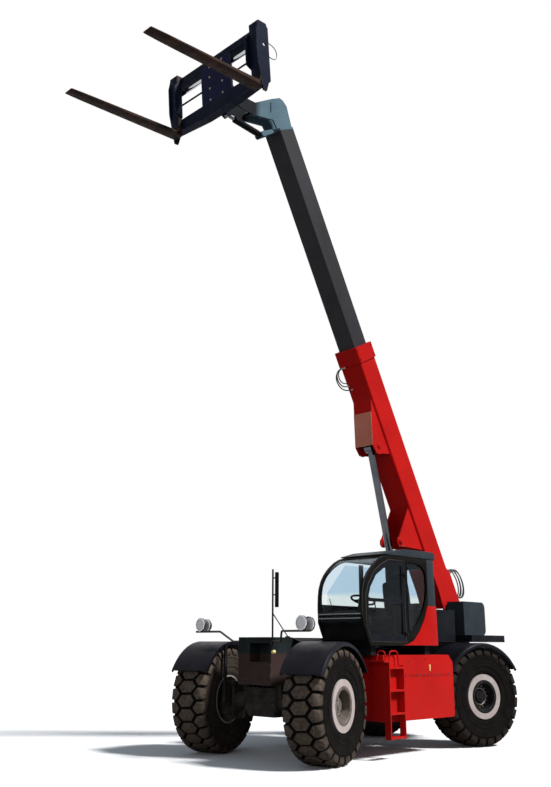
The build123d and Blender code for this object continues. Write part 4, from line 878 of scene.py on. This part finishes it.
frontEdge = [(-0.832, 1.70), (-0.672, 1.98), (-0.672, 2.38), (-0.725, 2.60), (-0.875, 2.80), (-1.08, 2.94),
             (-1.30, 3.022)]
tubePiece("doorTrim", atSide(doorEdge, 1.362), 0.008, "cab_door", frameTrim, closed=True,
          smooth=False)
tubePiece("quarterSeal", atSide(quarterSeal, 1.3605), cabLook["trimRadius"], "chassis", blackSeal,
          closed=True)
tubePiece("frontTrim_left", atSide(frontEdge, 1.345), cabLook["trimRadius"], "chassis", frameTrim)
tubePiece("frontTrim_right", atSide(frontEdge, 0.445), cabLook["trimRadius"], "chassis", frameTrim)
handlePoints = [(axleX - 0.93, 1.358, 2.13), (axleX - 0.93, 1.395, 2.15), (axleX - 0.93, 1.395, 2.27),
                (axleX - 0.93, 1.358, 2.29)]
tubePiece("doorHandle", handlePoints, cabLook["trimRadius"], "cab_door", blackSeal)
for i, z in enumerate(cabLook["guardBarHeights"]):
    bar = [(axleX - 0.672, 0.47, z), (axleX - 0.648, 0.50, z), (axleX - 0.648, 1.28, z),
           (axleX - 0.672, 1.31, z)]
    tubePiece("guardBar_%d" % i, bar, cabLook["trimRadius"], "chassis", paleBar)
wiper = [(axleX - 0.668, 0.90, 1.86), (axleX - 0.655, 0.90, 1.90), (axleX - 0.655, 0.72, 2.28),
         (axleX - 0.662, 0.70, 2.34)]
tubePiece("wiperArm", wiper, 0.006, "chassis", blackSeal)
rightLining = [(-0.80, 1.70), (-0.72, 1.98), (-0.72, 2.26), (-2.52, 2.26), (-2.54, 1.70)]
liningBack = [(-1.66, 2.20), (-1.66, 2.94), (-1.76, 2.94), (-1.76, 2.20)]
platePiece("rightLining", sidePlace, [(rightLining, 0.477, 0.492), (liningBack, 0.477, 0.500)], "chassis",
           *own("black_plastic"))
dash = [(-0.76, 1.72), (-0.72, 1.98), (-0.72, 2.10), (-0.80, 2.16), (-0.93, 2.10), (-0.98, 1.90),
        (-0.93, 1.72)]
platePiece("dashboard", sidePlace, [(dash, 0.50, 1.30)], "chassis", *own("black_plastic"),
           edge=cabLook["consoleEdge"])
armRest = [(-1.62, 1.72), (-1.60, 2.14), (-1.55, 2.22), (-1.64, 2.26), (-2.05, 2.24), (-2.12, 2.12),
           (-2.12, 1.72)]
platePiece("sideConsoles", sidePlace, [(armRest, 0.51, 0.60), (armRest, 1.18, 1.26)], "chassis",
           *own("black_plastic"), edge=cabLook["consoleEdge"])
for side, y in cabLook["leverY"].items():
    stick = [(axleX - 1.61, y, 2.24), (axleX - 1.59, y, 2.30), (axleX - 1.58, y, 2.36),
             (axleX - 1.60, y, 2.41)]
    tubePiece("controlLever_" + side, stick, 0.016, "chassis", blackSeal)
print("cab trim made")


# Seat: crowned cushions on the pedestal; centre counted from the front axle, size, tilt in degrees, crown
seatLook = {
    "seatCushion": ((-1.80, 0.89, 2.02), (0.50, 0.50, 0.12), 2.0, 0.02),
    "seatBack": ((-2.14, 0.89, 2.38), (0.62, 0.48, 0.12), 98.0, 0.02),
    "headRest": ((-2.20, 0.89, 2.74), (0.13, 0.26, 0.09), 98.0, 0.012),
}


def cushion(name, centre, size, tilt, crown):
    bm = bmesh.new()
    bmesh.ops.create_cube(bm, size=1.0)
    bmesh.ops.subdivide_edges(bm, edges=bm.edges, cuts=9, use_grid_fill=True)
    for vert in bm.verts:
        x, y, z = vert.co * 2
        pinch = (1 - 0.10 * y * y * abs(x) ** 3, 1 - 0.08 * x * x * abs(z) ** 3)
        puff = (1 - x * x) * (1 - y * y)
        channel = math.exp(-((abs(y) - 0.5) / 0.09) ** 2) + math.exp(-(x / 0.08) ** 2)
        seam = channel * crown * 0.5 if z > 0.9 else 0
        height = z * size[2] / 2 + math.copysign(crown, z) * puff - seam
        vert.co = (x * pinch[0] * size[0] / 2, y * pinch[1] * size[1] / 2, height)
    bmesh.ops.smooth_vert(bm, verts=bm.verts, factor=0.5, use_axis_x=True, use_axis_y=True, use_axis_z=True)
    bm.transform(Matrix.Translation(Vector(centre)) @ Matrix.Rotation(math.radians(tilt), 4, "Y"))
    piece = finishPiece(name, bm, "chassis", *own("seat_fabric"), sharp=80.0)
    rounding = piece.modifiers.new("round", "SUBSURF")
    rounding.levels = rounding.render_levels = 1


for name, ((x, y, z), size, tilt, crown) in seatLook.items():
    cushion(name, (axleX + x, y, z), size, tilt, crown)
pedestalLine = [(-1.64, 1.69), (-1.64, 1.80), (-1.68, 1.955), (-2.04, 1.955), (-2.10, 1.80), (-2.10, 1.69)]
pedestal = platePiece("seatPedestal", sidePlace, [(pedestalLine, 0.70, 1.08)], "chassis",
                      *own("black_plastic"), edge=0.02)
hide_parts("seat")
print("seat made")

# Lamps: chrome ring and lens in each drum, and the marker lamp on the front block
lampLook = {"poleX": 0.42, "drums": ((0.020, 1.115, 1.950), (-0.115, 1.135, 1.936)),
            "marker": (0.288, 0.43, 1.54)}
lensLine = [(-0.010, 0.090), (-0.003, 0.075), (0.003, 0.045), (0.006, 0.0)]
ringLine = [(-0.012, 0.1055), (0.001, 0.108), (0.006, 0.103), (0.003, 0.092), (-0.008, 0.0895)]
lampSpots = [(side, *drum) for side in (1, -1) for drum in lampLook["drums"]]
for i, (side, back, y, z) in enumerate(lampSpots):
    place = Matrix.Translation((axleX + lampLook["poleX"] + back, side * y, z))
    bm = bmesh.new()
    addTurned(bm, lensLine, 48, place)
    finishPiece("lampLens_%d" % i, bm, "chassis", lampLens, "black_plastic")
    bm = bmesh.new()
    addTurned(bm, ringLine, 48, place)
    finishPiece("lampRing_%d" % i, bm, "chassis", chromeRing, "black_plastic")
markerX, markerY, markerZ = lampLook["marker"]
bm = bmesh.new()
addTurned(bm, [(0.0, 0.0), (0.0, 0.030), (0.020, 0.032), (0.040, 0.026), (0.048, 0.0)], 32,
          Matrix.Translation((axleX + markerX, markerY, markerZ)))
finishPiece("markerLamp", bm, "chassis", amberLens, "black_plastic")
print("lamps made")

# Closing plate on the boom's lift bracket, in a red brightened as painted light
coverLine = [(4.22, -0.190), (3.66, -0.464), (3.655, -0.476), (4.22, -0.202)]
platePiece("bracketCover", boomPlace, [(coverLine, -0.207, 0.207)], "boom_outer", paintedLightRed, "red_paint",
           edge=0.003)

# Tank: bolts along its seam and two latches, each a plate with a smaller one on it
tankLook = {
    "face": 1.3805,
    "seamStart": -1.56,
    "seamPitch": 0.098,
    "seamBolts": 14,
    "seamHeight": 1.197,
    "loneBolts": ((-2.19, 1.44), (-1.75, 1.40), (-1.62, 1.30)),
    "latches": ((-2.304, 1.30, 0.10), (-1.60, 1.25, 0.055)),
    "latchHalf": 0.016,
    "latchLayers": ((1.3805, 1.389, 0.0), (1.389, 1.397, -0.008)),
}


def latchLine(x, z, tall, grow):
    half = tankLook["latchHalf"]
    return [(x - half - grow, z - tall / 2 - grow), (x + half + grow, z - tall / 2 - grow),
            (x + half + grow, z + tall / 2 + grow), (x - half - grow, z + tall / 2 + grow)]


boltSpots = [(tankLook["seamStart"] - tankLook["seamPitch"] * i, tankLook["face"], tankLook["seamHeight"])
             for i in range(tankLook["seamBolts"])]
boltSpots += [(x, tankLook["face"], z) for x, z in tankLook["loneBolts"]]
boltPiece("tankSeamBolts", sidePlace, boltSpots, (0, 1, 0), 0.009, 0.007, "chassis", *own("dark_paint"))
bm = bmesh.new()
for x, z, tall in tankLook["latches"]:
    for low, high, grow in tankLook["latchLayers"]:
        addPlate(bm, latchLine(x, z, tall, grow), low, high, 0.003)
bm.transform(sidePlace)
finishPiece("tankLatches", bm, "chassis", amberLens, "rim_paint")
print("tank trim made")

# Boom: pin caps with their bolts (place along and across, radius, cheek, paint), and collar bolts
pinCaps = {
    "pivotPinCaps": (0.0, 0.0, 0.072, 0.2655, "dark_paint"),
    "liftPinCaps": (3.57, -0.303, 0.040, 0.2105, "red_paint"),
    "bracketPinCaps": (1.80, -0.62, 0.036, 0.2225, "red_paint"),
}
collarLook = {"boltStations": (5.19, 5.37), "boltHeights": (-0.04, 0.40), "face": 0.267}
for name, (s, n, radius, y, look) in pinCaps.items():
    bm = bmesh.new()
    for side in (1, -1):
        turn = facingOut((s, side * y, n), side)
        addTurned(bm, [(0.0, radius + 0.014), (0.006, radius + 0.014), (0.008, radius),
                       (0.018, radius * 0.94), (0.018, 0.0)], 40, turn)
        for i in range(4):
            angle = math.pi / 4 + math.pi / 2 * i
            along, up = math.cos(angle) * radius * 0.6, math.sin(angle) * radius * 0.6
            addBolt(bm, Vector((s + along, side * (y + 0.017), n + up)), Vector((0, side, 0)), radius * 0.16,
                    0.006)
    bm.transform(boomPlace)
    finishPiece(name, bm, "boom_outer", *own(look))
spots = [(s, collarLook["face"], n) for s in collarLook["boltStations"] for n in collarLook["boltHeights"]]
boltPiece("collarBolts_left", boomPlace, spots, (0, 1, 0), 0.011, 0.008, "boom_outer", *own("red_paint"))
boltPiece("collarBolts_right", boomPlace, [(s, -y, n) for s, y, n in spots], (0, -1, 0), 0.011, 0.008,
          "boom_outer", *own("red_paint"))
print("boom trim made")


# Forks: broad tapered blades with their shanks, hooks and cradle cheeks
forkLook = {
    "spacing": 1.05,
    "half": 0.105,
    "edge": 0.006,
    "taperStart": 2.15,
    "taperRun": 0.41,
    "taper": 0.10,
    "cheekThick": 0.025,
}


def makeFork(label, y):
    half, edge, start = forkLook["half"], forkLook["edge"], forkLook["taperStart"]
    blade = [(0.30, -0.41), (2.54, -0.38), (2.56, -0.371), (2.54, -0.362), (0.37, -0.335), (0.30, -0.332)]
    shank = [(0.2505, -0.41), (0.33, -0.409), (0.345, -0.335), (0.3255, -0.29), (0.3255, 0.785),
             (0.2505, 0.785)]
    hook = [(0.19, 0.7355), (0.2515, 0.7355), (0.2515, 0.785), (0.19, 0.785)]
    bm = bmesh.new()
    addPlate(bm, blade, y - half, y + half, edge)
    for station in (start, 2.3, 2.42, 2.5):
        cutAt(bm, station)
    for vert in bm.verts:
        reach = max(0.0, (vert.co.x - start) / forkLook["taperRun"])
        vert.co.y = y + (vert.co.y - y) * (1.0 - forkLook["taper"] * reach * reach)
    addPlate(bm, shank, y - half, y + half, edge)
    addPlate(bm, hook, y - half, y + half, edge)
    bm.transform(carriagePlace)
    piece = finishPiece("forkBlade_" + label, bm, "fork_" + label, *own("fork_steel"),
                        sharp=30.0)
    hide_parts("fork_" + label)
    inside = y - half - 0.001 if y > 0 else y + half + 0.001
    cheek = [(0.2505, -0.06), (0.4155, 0.02), (0.4155, 0.52), (0.3255, 0.64), (0.2505, 0.64)]
    thick = forkLook["cheekThick"]
    spans = (inside - thick, inside) if y > 0 else (inside, inside + thick)
    facing = [(0.3262, -0.24), (0.3362, -0.24), (0.3362, 0.76), (0.3262, 0.76)]
    platePiece("forkCradle_" + label, carriagePlace,
               [(cheek, *spans), (facing, y - half + 0.012, y + half - 0.012)], "fork_" + label,
               carriagePaint, "fork_steel")


makeFork("left", forkLook["spacing"])
makeFork("right", -forkLook["spacing"])
print("forks made")

# Carriage: centre plate with its bolts, bright guide sleeves, caps on the tilt pin
carriageLook = {
    "plateHalf": 0.375,
    "plateFace": 0.2503,
    "boltY": 0.16,
    "boltHeights": (-0.05, 0.17, 0.39, 0.59),
    "guide": (0.165, 0.495),
    "sleeveY": 0.60,
    "pinCheek": 0.192,
}
plateHalf, plateFace = carriageLook["plateHalf"], carriageLook["plateFace"]
guideX, guideZ = carriageLook["guide"]
centrePlate = [(0.2495, -0.085), (plateFace, -0.085), (plateFace, 0.62), (0.2495, 0.62)]
platePiece("centrePlate", carriagePlace, [(centrePlate, -plateHalf, plateHalf)], "carriage", platePaint,
           "dark_paint", edge=0)
bm = bmesh.new()
for y in (carriageLook["sleeveY"], -carriageLook["sleeveY"]):
    turn = facingOut((guideX, y, guideZ))
    addTurned(bm, [(-0.30, 0.0365), (-0.298, 0.0400), (0.298, 0.0400), (0.30, 0.0365)], 32, turn)
bm.transform(carriagePlace)
finishPiece("guideSleeves", bm, "carriage", chromeRing, "chrome_rod")
spots = [(plateFace, side * carriageLook["boltY"], z) for side in (-1, 1)
         for z in carriageLook["boltHeights"]]
boltPiece("centrePlateBolts", carriagePlace, spots, (1, 0, 0), 0.012, 0.012, "carriage", boltSteel,
          "dark_paint")
bm = bmesh.new()
for side in (1, -1):
    turn = facingOut((0, side * carriageLook["pinCheek"], 0), side)
    addTurned(bm, [(0.0, 0.068), (0.008, 0.068), (0.010, 0.046), (0.028, 0.044), (0.028, 0.0)], 40, turn)
bm.transform(carriagePlace)
finishPiece("tiltPinCaps", bm, "carriage", chromeRing, "chrome_rod")
print("carriage trim made")
